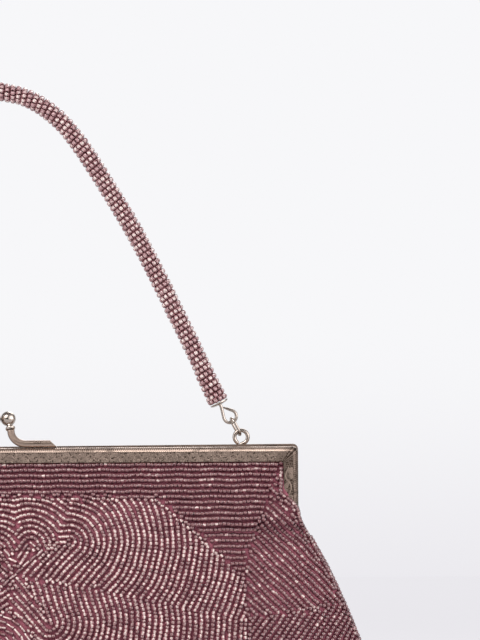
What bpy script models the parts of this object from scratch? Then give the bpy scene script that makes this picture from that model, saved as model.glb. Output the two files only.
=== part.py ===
"""Beaded evening bag: hinged metal frame with a kiss clasp, soft pouch and beaded rope handle.

Units are metres, +Z is up and the front faces -Y. The bag stands on its flat base, with the
origin at the middle of that base. Run it with: blender --background --python part.py
"""

import math

import bmesh
import bpy
from mathutils import Matrix, Vector

# General clearances
SEAT_GAP = 0.0003
MERGE_DISTANCE = 0.00001

# Pouch
BODY_HEIGHT = 0.140
BODY_HALF_WIDTH = 0.1305
BODY_HALF_DEPTH = 0.0226
BASE_HALF_DEPTH = 0.0112
BOTTOM_RADIUS = 0.036
PANEL_THICKNESS = 0.0025
LINING_THICKNESS = 0.0008
LIP_HALF_DEPTH = 0.0044
BASE_SEAM_DRAW = 0.0020
WIDTH_POWER = 2.4
CROWN_POWER = 0.62
DEPTH_RISE_POWER = 0.8
FLARE_SHARES = (
    (0.000, 0.000), (0.060, 0.115), (0.155, 0.375), (0.273, 0.600), (0.368, 0.770),
    (0.483, 0.930), (0.586, 1.000), (0.700, 0.985), (1.000, 0.960),
)

# Slip pocket, sewn to the back lining
POCKET_HALF_WIDTH = 0.046
POCKET_TOP_DROP = 0.046
POCKET_BOTTOM_DROP = 0.100
POCKET_THICKNESS = 0.0008

# Frame halves
FRAME_WIDTH = 0.205
FRAME_HALF_DEPTH = 0.0050
PARTING_GAP = 0.0003
BAR_HEIGHT = 0.0052
RIB_RADIUS = 0.0015
RIB_STEP = 0.0002
TOP_WALL = 0.0013
SIDE_WALL = 0.0008
CORNER_RADIUS = 0.0018
INNER_CORNER_RADIUS = 0.0002
HINGE_DROP = 0.0240
COVER_DROP = 0.0155

# Hinge ears and rivets
EAR_RADIUS = 0.0022
EAR_THICKNESS = 0.0008
EAR_ROOT = 0.0008
EAR_INSET = 0.0001
EAR_START = math.radians(30)
EAR_SWEEP = math.radians(240)
LEG_LIFT = 0.0028
RIVET_RADIUS = 0.0008
RIVET_HEAD_RADIUS = 0.0015
RIVET_HEAD = 0.0005
SEAM_DROP_BELOW_HINGE = 0.0070
SPLIT_DROP_BELOW_HINGE = 0.0050

# Paper cord that holds the fabric in the channel
CHANNEL_CORD_RADIUS = 0.0012

# Kiss clasp
KNOB_RADIUS = 0.0025
KNOB_HEIGHT = 0.0097
KNOB_CROSSING = 0.0009
COLLAR_RADIUS = 0.0017
COLLAR_HEIGHT = 0.0014
COLLAR_EDGE_SHARES = (0.25, 0.75)
NECK_RADIUS = 0.0010
NECK_HEIGHT = 0.0007
ARM_THICKNESS = 0.0019
ARM_WIDTH = 0.0026
ARM_LENGTH = 0.0152
ARM_RISE = 0.0046
ARM_BEND = 0.0052
ARM_DEPTH = 0.0024
ARM_LEAN = 0.0012
ARM_CHAMFER = 0.0014

# Chain between the frame and the handle
EYELET_INSET = 0.0196
EYELET_DEPTH = 0.0020
EYELET_RADIUS = 0.0023
EYELET_WIRE = 0.0006
EYELET_SHANK = 0.0012
LINK_PITCH = 0.0036
LINK_WIRE = 0.00045
LINK_SLACK = 0.0004
LINK_HALF_WIDTH = 0.0021
LINK_LEAN = math.radians(28)
LINK_TURN = math.radians(8)
LOOP_RADIUS = 0.0022
LOOP_WIRE = 0.00055
LOOP_LENGTH = 0.0045
LOOP_LEAN = math.radians(42)
LOOP_OPENING = 0.0017

# Handle
HANDLE_RADIUS = 0.0031
HANDLE_WALL = 0.0012
HANDLE_RISE = 0.1077
CORE_RADIUS = 0.0015
CAP_RADIUS = 0.0034
CAP_HEIGHT = 0.0012
CAP_EDGE = 0.0005
CAP_SHOULDER_SHARES = (0.75, 0.85)
CAP_HOLE_CLEARANCE = 0.00035
NECK_LENGTH = 0.0005
HANDLE_SHARES = (
    (0.000, 1.000), (0.139, 0.974), (0.279, 0.905), (0.383, 0.814), (0.500, 0.685),
    (0.609, 0.557), (0.706, 0.429), (0.796, 0.300), (0.890, 0.165), (0.972, 0.040),
    (1.000, 0.000),
)

# Fineness of the meshes
PANEL_COLUMNS = 22
UPPER_ROWS = 6
LOWER_ROWS = 11
BASE_ROWS = 2
ARC_STEPS = 4
KNOB_STEPS = 12
EYE_STEPS = 20
TURN_STEPS = 16
HANDLE_STATIONS = 44
HANDLE_SPACING_POWER = 1.25

# Derived sizes
SEAM_OFFSET = SEAT_GAP / 2
FRAME_HALF_WIDTH = FRAME_WIDTH / 2
BAR_BOTTOM = BODY_HEIGHT - BAR_HEIGHT
HINGE_HEIGHT = BODY_HEIGHT - HINGE_DROP
LEG_END = HINGE_HEIGHT + LEG_LIFT
LEG_INNER = FRAME_HALF_WIDTH - BAR_HEIGHT
EYELET_OFFSET = FRAME_HALF_WIDTH - EYELET_INSET
PANEL_TOP_DROP = BAR_HEIGHT + SEAT_GAP
COVER_DEPTH = FRAME_HALF_DEPTH + SEAT_GAP + PANEL_THICKNESS
COVER_END_DROP = HINGE_DROP + EAR_RADIUS + SEAT_GAP
SEAM_TOP_DROP = HINGE_DROP + SEAM_DROP_BELOW_HINGE
SPLIT_DROP = HINGE_DROP + SPLIT_DROP_BELOW_HINGE
ROUND_DROP = BODY_HEIGHT - BOTTOM_RADIUS
LINING_OUTER = PANEL_THICKNESS + SEAT_GAP
LINING_INNER = LINING_OUTER + LINING_THICKNESS
POCKET_OUTER = LINING_INNER + SEAT_GAP
POCKET_INNER = POCKET_OUTER + POCKET_THICKNESS
PARTING_OFFSET = PARTING_GAP / 2
RIVET_HOLE_RADIUS = RIVET_RADIUS + SEAT_GAP

# Places on the chain, right side, measured at the middle of each wire
PULL = Vector((-math.sin(LINK_LEAN), 0, math.cos(LINK_LEAN)))
EYELET_CENTRE = Vector((
    EYELET_OFFSET, EYELET_DEPTH, BODY_HEIGHT + SEAT_GAP + EYELET_WIRE + EYELET_RADIUS))
LINK_PIVOT = EYELET_CENTRE + PULL * EYELET_RADIUS
HANDLE_PIVOT = LINK_PIVOT + PULL * LINK_PITCH
LOOP_CENTRE = HANDLE_PIVOT + PULL * LOOP_RADIUS
LOOP_NECK = LOOP_CENTRE + LOOP_LENGTH * Vector((-math.sin(LOOP_LEAN), 0, math.cos(LOOP_LEAN)))


def clear_scene():
    """Remove every object that the scene starts with."""
    for obj in list(bpy.data.objects):
        bpy.data.objects.remove(obj, do_unlink=True)


def make_material(name, colour, roughness, metallic=0.0):
    """Return a Principled material."""
    mat = bpy.data.materials.new(name)
    mat.use_nodes = True
    shader = mat.node_tree.nodes["Principled BSDF"]
    shader.inputs["Base Color"].default_value = (*colour, 1.0)
    shader.inputs["Roughness"].default_value = roughness
    shader.inputs["Metallic"].default_value = metallic
    return mat


def make_pivot(name, place):
    """Return an empty that stands on a joint's axis."""
    empty = bpy.data.objects.new(name, None)
    empty.location = place
    bpy.context.collection.objects.link(empty)
    return empty


def add_object(name, data, mat, pivot):
    """Link an object whose data is measured from its pivot, and return it."""
    obj = bpy.data.objects.new(name, data)
    data.materials.append(mat)
    obj.parent = pivot
    bpy.context.collection.objects.link(obj)
    return obj


def add_mesh(name, bm, mat, pivot, smooth=True):
    """Turn a bmesh drawn in world places into an object on its pivot."""
    bmesh.ops.translate(bm, verts=bm.verts, vec=-pivot.location)
    bmesh.ops.recalc_face_normals(bm, faces=bm.faces)
    mesh = bpy.data.meshes.new(name)
    bm.to_mesh(mesh)
    bm.free()
    if smooth:
        mesh.shade_smooth()
        mesh.set_sharp_from_angle(angle=math.radians(35))
    return add_object(name, mesh, mat, pivot)


def add_tube(name, points, radius, mat, pivot, cyclic=False, sides=8, capped=True):
    """Add a round wire or cord along world points as a bevelled curve."""
    curve = bpy.data.curves.new(name, "CURVE")
    curve.dimensions = "3D"
    curve.bevel_depth = radius
    curve.bevel_resolution = sides // 2 - 2
    curve.use_fill_caps = capped and not cyclic
    spline = curve.splines.new("POLY")
    spline.points.add(len(points) - 1)
    spline.use_cyclic_u = cyclic
    for slot, point in zip(spline.points, points):
        slot.co = (*(point - pivot.location), 1.0)
    return add_object(name, curve, mat, pivot)


def add_cutter(name, bm, pivot, mat):
    """Add a solid that only a Boolean uses."""
    obj = add_mesh(name, bm, mat, pivot, smooth=False)
    obj.hide_render = True
    obj.display_type = "WIRE"
    return obj


def add_boolean(obj, operand, operation):
    """Cut or join an operand with an exact Boolean."""
    modifier = obj.modifiers.new(operand.name, "BOOLEAN")
    modifier.operation = operation
    modifier.solver = "EXACT"
    modifier.object = operand


def bridge_sections(bm, sections):
    """Join closed outlines of equal length into a capped solid."""
    loops = [[bm.verts.new(point) for point in section] for section in sections]
    count = len(loops[0])
    for lower, upper in zip(loops, loops[1:]):
        for index in range(count):
            after = (index + 1) % count
            bm.faces.new((lower[index], lower[after], upper[after], upper[index]))
    bm.faces.new(reversed(loops[0]))
    bm.faces.new(loops[-1])


def turned_piece(profile, base, direction):
    """Spin (radius, height) points about a direction and return the bmesh."""
    bm = bmesh.new()
    verts = [bm.verts.new((radius, 0, height)) for radius, height in profile]
    ring = profile[0][0] > 0
    pairs = list(zip(verts, verts[1:]))
    if ring:
        pairs.append((verts[-1], verts[0]))
    edges = [bm.edges.new(pair) for pair in pairs]
    bmesh.ops.spin(
        bm, geom=verts + edges, cent=(0, 0, 0), axis=(0, 0, 1),
        angle=math.tau, steps=TURN_STEPS, use_merge=True)
    bmesh.ops.remove_doubles(bm, verts=bm.verts, dist=MERGE_DISTANCE)
    turn = direction.to_track_quat("Z", "Y").to_matrix().to_4x4()
    bmesh.ops.transform(bm, matrix=Matrix.Translation(base) @ turn, verts=bm.verts)
    return bm


def read_table(table, share):
    """Read a smooth value from a table of (share, value) pairs."""
    last = len(table) - 1
    index = 0
    while index < last - 1 and share > table[index + 1][0]:
        index += 1

    def slope(at):
        left = table[max(at - 1, 0)]
        right = table[min(at + 1, last)]
        return (right[1] - left[1]) / (right[0] - left[0])

    start, end = table[index], table[index + 1]
    span = end[0] - start[0]
    t = min(max((share - start[0]) / span, 0.0), 1.0)
    rise = (3 - 2 * t) * t * t
    return (start[1] + (end[1] - start[1]) * rise
            + span * slope(index) * t * (1 - t) ** 2 - span * slope(index + 1) * t * t * (1 - t))


def blend_values(start, end, share):
    """Return the value that lies a clamped share of the way from start to end."""
    return start + (end - start) * min(max(share, 0.0), 1.0)


def pouch_half_width(drop):
    """Return the pouch's half width at a drop below the top of the frame."""
    if drop <= COVER_DROP:
        return LEG_INNER - SEAT_GAP
    if drop < HINGE_DROP:
        share = (drop - COVER_DROP) / (HINGE_DROP - COVER_DROP)
        return blend_values(LEG_INNER - SEAT_GAP, FRAME_HALF_WIDTH + SEAT_GAP, share * (2 - share))
    flare = BODY_HALF_WIDTH - FRAME_HALF_WIDTH - SEAT_GAP
    share = (drop - HINGE_DROP) / (BODY_HEIGHT - HINGE_DROP)
    width = FRAME_HALF_WIDTH + SEAT_GAP + flare * read_table(FLARE_SHARES, share)
    if drop > ROUND_DROP:
        sink = (drop - ROUND_DROP) / BOTTOM_RADIUS
        width -= BOTTOM_RADIUS * (1 - math.sqrt(max(1 - sink * sink, 0.0)))
    return width


def pouch_half_depth(drop):
    """Return the pouch's half depth on its middle line at a drop."""
    share = min(max((drop - PANEL_TOP_DROP) / (ROUND_DROP - PANEL_TOP_DROP), 0.0), 1.0)
    rise = math.sin(math.pi / 2 * share ** DEPTH_RISE_POWER)
    if drop <= ROUND_DROP:
        return blend_values(LIP_HALF_DEPTH, BODY_HALF_DEPTH, rise)
    sink = (drop - ROUND_DROP) / BOTTOM_RADIUS
    bulge = math.sqrt(max(1 - sink * sink, 0.0))
    return blend_values(BASE_HALF_DEPTH, BODY_HALF_DEPTH, bulge)


def pouch_edge_depth(drop):
    """Return how far the panel's side edge stands from the parting plane at a drop."""
    if drop < COVER_DROP:
        share = (drop - PANEL_TOP_DROP) / (COVER_DROP - PANEL_TOP_DROP)
        return blend_values(LIP_HALF_DEPTH, COVER_DEPTH, share)
    share = (drop - COVER_END_DROP) / (SEAM_TOP_DROP - COVER_END_DROP)
    return blend_values(COVER_DEPTH, SEAM_OFFSET, share)


def pouch_point(side, across, drop, base_share, inset):
    """Return a point of the pouch's skin.

    side is -1 at the front and 1 at the back, across runs from -1 to 1, base_share is 1 on the
    walls and falls to 0 at the seam under the base, and inset is measured inwards.
    """
    edge = max(pouch_edge_depth(drop) - inset, SEAM_OFFSET)
    depth = max(pouch_half_depth(drop) - inset, edge)
    crown = (1 - abs(across) ** WIDTH_POWER) ** CROWN_POWER
    outward = SEAM_OFFSET + (edge + (depth - edge) * crown - SEAM_OFFSET) * base_share
    half_width = pouch_half_width(drop)
    if inset > PANEL_THICKNESS:
        share = (drop - COVER_END_DROP) / (SEAM_TOP_DROP - COVER_END_DROP)
        inner_width = blend_values(LEG_INNER - SEAT_GAP, pouch_half_width(SEAM_TOP_DROP), share)
        half_width = min(half_width, inner_width) if share < 1 else half_width
    half_width -= inset + BASE_SEAM_DRAW * (1 - base_share)
    height = BODY_HEIGHT - drop
    height += inset * (1 - height / (BAR_BOTTOM - SEAT_GAP))
    return Vector((across * half_width, side * outward, height))


def upper_drops(bottom, rows):
    """Return row places from under the frame's bar down to a drop."""
    return [(blend_values(PANEL_TOP_DROP, bottom, row / rows), 1.0) for row in range(rows + 1)]


def lower_drops(top, rows):
    """Return row places from a drop down to the base, closer together at the bottom."""
    reach = BODY_HEIGHT - top
    places = [(top + reach * math.sin(math.pi / 2 * row / rows), 1.0) for row in range(rows + 1)]
    return places + [(BODY_HEIGHT, 1 - row / BASE_ROWS) for row in range(1, BASE_ROWS + 1)]


def across_shares(columns):
    """Return column places from edge to edge, closer together at the edges."""
    return [math.sin(math.pi / 2 * (2 * column / columns - 1)) for column in range(columns + 1)]


def pouch_layer(side, rows, shares, outer, inner):
    """Return the bmesh of one layer of cloth between two insets."""
    bm = bmesh.new()
    skins = [
        [[bm.verts.new(pouch_point(side, across, drop, base_share, inset)) for across in shares]
         for drop, base_share in rows]
        for inset in (outer, inner)
    ]
    for skin in skins:
        for upper, lower in zip(skin, skin[1:]):
            for index in range(len(shares) - 1):
                bm.faces.new((upper[index], upper[index + 1], lower[index + 1], lower[index]))
    close_rim(bm, *(skin_border(skin) for skin in skins))
    return bm


def skin_border(skin):
    """Return the border vertices of a grid, in order round it."""
    top = skin[0]
    right = [row[-1] for row in skin[1:-1]]
    bottom = skin[-1][::-1]
    left = [row[0] for row in skin[-2:0:-1]]
    return top + right + bottom + left


def close_rim(bm, outer, inner):
    """Join the borders of two skins all round."""
    count = len(outer)
    for index in range(count):
        after = (index + 1) % count
        bm.faces.new((outer[index], outer[after], inner[after], inner[index]))


def build_pouch(back_pivot, front_pivot, beads, satin):
    """Build the beaded panels, the lining and the slip pocket."""
    columns = across_shares(PANEL_COLUMNS)
    upper = upper_drops(SPLIT_DROP - SEAM_OFFSET, UPPER_ROWS)
    lower = lower_drops(SPLIT_DROP + SEAM_OFFSET, LOWER_ROWS)
    whole = upper_drops(SPLIT_DROP, UPPER_ROWS)[:-1] + lower_drops(SPLIT_DROP, LOWER_ROWS)
    for word, cloth, outer, inner in (
            ("panel", beads, 0, PANEL_THICKNESS),
            ("lining", satin, LINING_OUTER, LINING_INNER)):
        layer = pouch_layer(-1, upper, columns, outer, inner)
        add_mesh("front_" + word + "_upper", layer, cloth, front_pivot)
        layer = pouch_layer(-1, lower, columns, outer, inner)
        add_mesh("front_" + word + "_lower", layer, cloth, back_pivot)
        layer = pouch_layer(1, whole, columns, outer, inner)
        add_mesh("back_" + word, layer, cloth, back_pivot)

    reach = POCKET_HALF_WIDTH / BODY_HALF_WIDTH
    shares = [blend_values(-reach, reach, column / ARC_STEPS) for column in range(ARC_STEPS + 1)]
    rows = [(blend_values(POCKET_TOP_DROP, POCKET_BOTTOM_DROP, row / ARC_STEPS), 1.0)
            for row in range(ARC_STEPS + 1)]
    layer = pouch_layer(1, rows, shares, POCKET_OUTER, POCKET_INNER)
    add_mesh("slip_pocket", layer, satin, back_pivot)


def frame_route(inset, leg_end=LEG_END):
    """Return the (x, height) places of the frame's route, set in from its outer edge."""
    share = min(inset / BAR_HEIGHT, 1.0)
    radius = blend_values(CORNER_RADIUS, INNER_CORNER_RADIUS, share)
    x = FRAME_HALF_WIDTH - inset
    top = BODY_HEIGHT - inset
    right = []
    for step in range(ARC_STEPS + 1):
        angle = math.pi / 2 * step / ARC_STEPS
        right.append((x - radius + radius * math.sin(angle), top - radius + radius * math.cos(angle)))
    right.append((x, leg_end))
    left = [(-place, height) for place, height in reversed(right)]
    return left + right


def frame_profile():
    """Return the channel's outline as (inset from the outer edge, distance from the parting)."""
    face = FRAME_HALF_DEPTH - RIB_STEP
    inner = PARTING_OFFSET + SIDE_WALL
    rib = []
    for step in range(ARC_STEPS + 1):
        angle = math.pi / 2 * step / ARC_STEPS
        rib.append((RIB_RADIUS * (1 - math.cos(angle)),
                    FRAME_HALF_DEPTH - RIB_RADIUS * (1 - math.sin(angle))))
    channel = [
        (RIB_RADIUS + RIB_STEP, face), (BAR_HEIGHT, face), (BAR_HEIGHT, face - SIDE_WALL),
        (TOP_WALL, face - SIDE_WALL), (TOP_WALL, inner), (BAR_HEIGHT, inner),
        (BAR_HEIGHT, PARTING_OFFSET),
    ]
    return [(0, PARTING_OFFSET)] + rib + channel


def hinge_ears(side, outer_edge):
    """Return the bmesh of one half's two ears; outer_edge is their outer face from the middle."""
    bm = bmesh.new()
    top = LEG_LIFT + EAR_ROOT
    outline = [(PARTING_OFFSET + SIDE_WALL, top), (FRAME_HALF_DEPTH - SIDE_WALL, top)]
    for step in range(2 * ARC_STEPS + 1):
        angle = EAR_START - EAR_SWEEP * step / (2 * ARC_STEPS)
        outline.append((EAR_RADIUS * math.cos(angle), EAR_RADIUS * math.sin(angle)))
    for hand in (-1, 1):
        faces = []
        for reach in (outer_edge - EAR_THICKNESS, outer_edge):
            faces.append([(hand * reach, side * out, HINGE_HEIGHT + up) for out, up in outline])
        bridge_sections(bm, faces)
    return bm


def build_frame_half(name, side, pivot, metal, cutters):
    """Build one half of the frame, with its hinge ears and bores."""
    profile = frame_profile()
    routes = [frame_route(inset) for inset, _ in profile]
    sections = []
    for station in range(len(routes[0])):
        sections.append([
            (route[station][0], side * distance, route[station][1])
            for route, (_, distance) in zip(routes, profile)])
    bm = bmesh.new()
    bridge_sections(bm, sections)
    half = add_mesh(name, bm, metal, pivot)

    outer_edge = FRAME_HALF_WIDTH - EAR_INSET
    if side > 0:
        outer_edge -= EAR_THICKNESS + SEAT_GAP
    ears = add_cutter(name + "_ears", hinge_ears(side, outer_edge), pivot, cutters)
    add_boolean(half, ears, "UNION")
    reach = FRAME_HALF_WIDTH + RIVET_HEAD
    bore = turned_piece(
        [(0, -reach), (RIVET_HOLE_RADIUS, -reach), (RIVET_HOLE_RADIUS, reach), (0, reach)],
        Vector((0, 0, HINGE_HEIGHT)), Vector((1, 0, 0)))
    add_boolean(half, add_cutter(name + "_hinge_bore", bore, pivot, cutters), "DIFFERENCE")
    return half


def cut_shank_holes(half, pivot, cutters):
    """Cut the holes that the shanks of the two eyelets pass through."""
    radius = EYELET_WIRE + SEAT_GAP
    for hand, word in ((1, "right"), (-1, "left")):
        base = Vector((hand * EYELET_OFFSET, EYELET_DEPTH, BODY_HEIGHT))
        hole = turned_piece(
            [(0, -TOP_WALL - SEAT_GAP), (radius, -TOP_WALL - SEAT_GAP), (radius, SEAT_GAP),
             (0, SEAT_GAP)], base, Vector((0, 0, 1)))
        add_boolean(half, add_cutter("shank_hole_" + word, hole, pivot, cutters), "DIFFERENCE")


def build_rivets(pivot, metal):
    """Build the two rivets that the frame's halves turn on."""
    inner_face = FRAME_HALF_WIDTH - EAR_INSET - 2 * EAR_THICKNESS - 2 * SEAT_GAP
    outer_face = FRAME_HALF_WIDTH - EAR_INSET + SEAT_GAP
    dome = RIVET_HEAD_RADIUS - RIVET_HEAD
    profile = [
        (0, inner_face - RIVET_HEAD), (dome, inner_face - RIVET_HEAD),
        (RIVET_HEAD_RADIUS, inner_face), (RIVET_RADIUS, inner_face),
        (RIVET_RADIUS, outer_face), (RIVET_HEAD_RADIUS, outer_face),
        (dome, outer_face + RIVET_HEAD), (0, outer_face + RIVET_HEAD),
    ]
    base = Vector((0, 0, HINGE_HEIGHT))
    for hand, word in ((1, "right"), (-1, "left")):
        rivet = turned_piece(profile, base, Vector((hand, 0, 0)))
        add_mesh("hinge_rivet_" + word, rivet, metal, pivot)


def build_channel_cord(name, side, pivot, paper):
    """Build the paper cord that wedges the fabric into a half's channel."""
    face = FRAME_HALF_DEPTH - RIB_STEP - SIDE_WALL
    middle = (face + PARTING_OFFSET + SIDE_WALL) / 2
    inset = TOP_WALL + SEAT_GAP + CHANNEL_CORD_RADIUS
    leg_end = LEG_END + EAR_ROOT + SEAT_GAP
    points = [Vector((x, side * middle, height)) for x, height in frame_route(inset, leg_end)]
    add_tube(name, points, CHANNEL_CORD_RADIUS, paper, pivot)


def clasp_arm_route(hand, side):
    """Return the middle line of a clasp arm, from its knob end to its chamfered foot."""
    low = BODY_HEIGHT + SEAT_GAP + ARM_THICKNESS / 2
    start = KNOB_RADIUS + SEAT_GAP / 2 + ARM_THICKNESS / 2
    points = []
    for step in range(2 * ARC_STEPS + 1):
        angle = math.pi / 2 * step / (2 * ARC_STEPS)
        out = start + ARM_BEND * (1 - math.cos(angle))
        up = low + ARM_RISE * (1 - math.sin(angle))
        lean = ARM_LEAN * (1 - math.sin(angle))
        points.append(Vector((hand * out, side * (ARM_DEPTH - lean), up)))
    points.append(points[-1] + Vector((hand * (ARM_LENGTH - ARM_BEND), 0, 0)))
    return points


def build_clasp_half(word, hand, side, pivot, metal):
    """Build one half of the kiss clasp: the bent arm and the turned knob."""
    points = clasp_arm_route(hand, side)
    sections = []
    for index, point in enumerate(points):
        before = points[max(index - 1, 0)]
        after = points[min(index + 1, len(points) - 1)]
        along = (after - before).normalized()
        wide = Vector((0, 1, 0))
        wide = (wide - along * wide.dot(along)).normalized() * (ARM_WIDTH / 2)
        thick = along.cross(wide).normalized() * (ARM_THICKNESS / 2)
        sections.append([point + wide + thick, point - wide + thick,
                         point - wide - thick, point + wide - thick])
    for corner in sections[-1]:
        if corner.z > points[-1].z:
            corner.x -= hand * ARM_CHAMFER
    bm = bmesh.new()
    bridge_sections(bm, sections)
    add_mesh("clasp_arm_" + word, bm, metal, pivot)

    top = Vector((hand * (KNOB_RADIUS + SEAT_GAP / 2), -side * KNOB_CROSSING,
                  BODY_HEIGHT + KNOB_HEIGHT))
    axis = (top - points[0]).normalized()
    reach = (top - points[0]).length
    profile = [(0, SEAT_GAP), (NECK_RADIUS, SEAT_GAP)]
    profile += [(COLLAR_RADIUS, SEAT_GAP + COLLAR_HEIGHT * share) for share in COLLAR_EDGE_SHARES]
    profile += [(NECK_RADIUS, SEAT_GAP + COLLAR_HEIGHT),
                (NECK_RADIUS, SEAT_GAP + COLLAR_HEIGHT + NECK_HEIGHT / 2)]
    start = math.asin(NECK_RADIUS / KNOB_RADIUS)
    for step in range(KNOB_STEPS + 1):
        angle = start + (math.pi - start) * step / KNOB_STEPS
        profile.append((max(KNOB_RADIUS * math.sin(angle), 0), reach - KNOB_RADIUS * math.cos(angle)))
    profile[-1] = (0, reach + KNOB_RADIUS)
    knob = turned_piece(profile, points[0], axis)
    add_mesh("clasp_knob_" + word, knob, metal, pivot)


def eye_route(start, neck, centre, radius, opening):
    """Return the middle line of a wire bent into an eye round a centre, in an XZ plane."""
    towards = neck - centre
    length = towards.length
    heading = math.atan2(towards.z, towards.x)
    touch = math.acos(radius / length)
    points = [start, neck]
    for step in range(EYE_STEPS + 1):
        angle = heading + touch + (math.tau - 2 * touch) * step / EYE_STEPS
        points.append(centre + radius * Vector((math.cos(angle), 0, math.sin(angle))))
    back = neck - points[-1]
    if back.length > opening:
        points.append(points[-1] + back.normalized() * (back.length - opening))
    return points


def mirrored(points, hand):
    """Return the points with x multiplied by the hand, which is 1 or -1."""
    return [Vector((hand * point.x, point.y, point.z)) for point in points]


def build_eyelets(pivot, metal):
    """Build the two wire eyes that stand on the back half of the frame."""
    bottom = Vector((EYELET_OFFSET, EYELET_DEPTH, BODY_HEIGHT - EYELET_SHANK))
    neck = Vector((EYELET_OFFSET, EYELET_DEPTH, BODY_HEIGHT))
    opening = 2 * EYELET_WIRE + SEAT_GAP
    route = eye_route(bottom, neck, EYELET_CENTRE, EYELET_RADIUS, opening)
    for hand, word in ((1, "right"), (-1, "left")):
        add_tube("eyelet_" + word, mirrored(route, hand), EYELET_WIRE, metal, pivot)


def build_link(word, hand, pivot, metal):
    """Build one oval chain link, on its own swing axis."""
    lower = EYELET_WIRE + LINK_WIRE + LINK_SLACK
    upper = LOOP_WIRE + LINK_WIRE + LINK_SLACK
    straight = (LINK_PITCH + lower + upper) / 2 - LINK_HALF_WIDTH
    middle = LINK_PIVOT + PULL * ((LINK_PITCH + upper - lower) / 2)
    broad = Matrix.Rotation(LINK_TURN, 3, PULL) @ Vector((0, 1, 0))
    points = []
    for end in (1, -1):
        for step in range(2 * ARC_STEPS + 1):
            angle = math.pi * step / (2 * ARC_STEPS)
            along = end * (straight + LINK_HALF_WIDTH * math.sin(angle))
            wide = end * LINK_HALF_WIDTH * math.cos(angle)
            points.append(middle + PULL * along + broad * wide)
    add_tube("link_" + word, mirrored(points, hand), LINK_WIRE, metal, pivot, cyclic=True)


def handle_half_span():
    """Return how far the handle's ends stand from the middle of the bag."""
    return LOOP_NECK.x - (CAP_HEIGHT + SEAT_GAP + NECK_LENGTH) * math.sin(LINK_LEAN)


def handle_end_height():
    """Return the height of the handle's ends."""
    return LOOP_NECK.z + (CAP_HEIGHT + SEAT_GAP + NECK_LENGTH) * math.cos(LINK_LEAN)


def handle_points():
    """Return the handle's middle line from its left end to its right end."""
    span = handle_half_span()
    low = handle_end_height()
    points = []
    for station in range(-HANDLE_STATIONS, HANDLE_STATIONS + 1, 2):
        share = abs(station) / HANDLE_STATIONS
        along = math.sin(math.pi / 2 * share) ** HANDLE_SPACING_POWER
        height = read_table(HANDLE_SHARES, along)
        points.append(Vector((math.copysign(along * span, station), EYELET_DEPTH,
                              low + height * HANDLE_RISE)))
    return points


def build_handle(pivot, metal, beads, cotton):
    """Build the beaded tube, its stuffing cord, the end caps and the end loops."""
    points = handle_points()
    sleeve = add_tube("handle_sleeve", points, HANDLE_RADIUS, beads, pivot, sides=10, capped=False)
    wall = sleeve.modifiers.new("wall", "SOLIDIFY")
    wall.thickness = HANDLE_WALL
    wall.offset = -1
    wall.use_even_offset = True
    add_tube("handle_core", points, CORE_RADIUS, cotton, pivot)

    hole = LOOP_WIRE + CAP_HOLE_CLEARANCE
    profile = [
        (hole, SEAT_GAP), (CAP_RADIUS, SEAT_GAP), (CAP_RADIUS, SEAT_GAP + CAP_EDGE),
        (CAP_RADIUS * CAP_SHOULDER_SHARES[0], SEAT_GAP + CAP_HEIGHT * CAP_SHOULDER_SHARES[1]),
        (hole, SEAT_GAP + CAP_HEIGHT),
    ]
    end = points[-1]
    out = (points[-1] - points[-2]).normalized()
    start = end + out * SEAT_GAP
    route = eye_route(start, LOOP_NECK, LOOP_CENTRE, LOOP_RADIUS, LOOP_OPENING)
    for hand, word in ((1, "right"), (-1, "left")):
        base = mirrored([end], hand)[0]
        axis = mirrored([out], hand)[0]
        add_mesh("end_cap_" + word, turned_piece(profile, base, axis), metal, pivot)
        add_tube("end_loop_" + word, mirrored(route, hand), LOOP_WIRE, metal, pivot)


def main():
    """Build the whole bag."""
    clear_scene()
    nickel = make_material("antique_nickel", (0.42, 0.37, 0.33), 0.35, 1.0)
    polished = make_material("polished_nickel", (0.55, 0.50, 0.46), 0.18, 1.0)
    beads = make_material("glass_beads", (0.22, 0.09, 0.11), 0.25)
    satin = make_material("lining_satin", (0.30, 0.17, 0.18), 0.45)
    paper = make_material("paper_cord", (0.60, 0.52, 0.42), 0.90)
    cotton = make_material("cotton_cord", (0.62, 0.57, 0.52), 0.90)

    back_pivot = make_pivot("back_half_and_pouch", (0, 0, 0))
    front_pivot = make_pivot("front_half_hinge", (0, 0, HINGE_HEIGHT))
    right_pivot = make_pivot("right_link_pivot", LINK_PIVOT)
    left_pivot = make_pivot("left_link_pivot", mirrored([LINK_PIVOT], -1)[0])
    handle_pivot = make_pivot("handle_pivot", HANDLE_PIVOT)

    build_pouch(back_pivot, front_pivot, beads, satin)
    back_half = build_frame_half("frame_back", 1, back_pivot, nickel, nickel)
    cut_shank_holes(back_half, back_pivot, nickel)
    build_frame_half("frame_front", -1, front_pivot, nickel, nickel)
    build_rivets(back_pivot, polished)
    build_channel_cord("channel_cord_back", 1, back_pivot, paper)
    build_channel_cord("channel_cord_front", -1, front_pivot, paper)
    build_clasp_half("front", 1, -1, front_pivot, polished)
    build_clasp_half("back", -1, 1, back_pivot, polished)
    build_eyelets(back_pivot, polished)
    build_link("right", 1, right_pivot, polished)
    build_link("left", -1, left_pivot, polished)
    build_handle(handle_pivot, polished, beads, cotton)


main()
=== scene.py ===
import logging
import math
from dataclasses import dataclass, field
from enum import Enum
from typing import Callable, Mapping, Optional, Sequence

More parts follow.
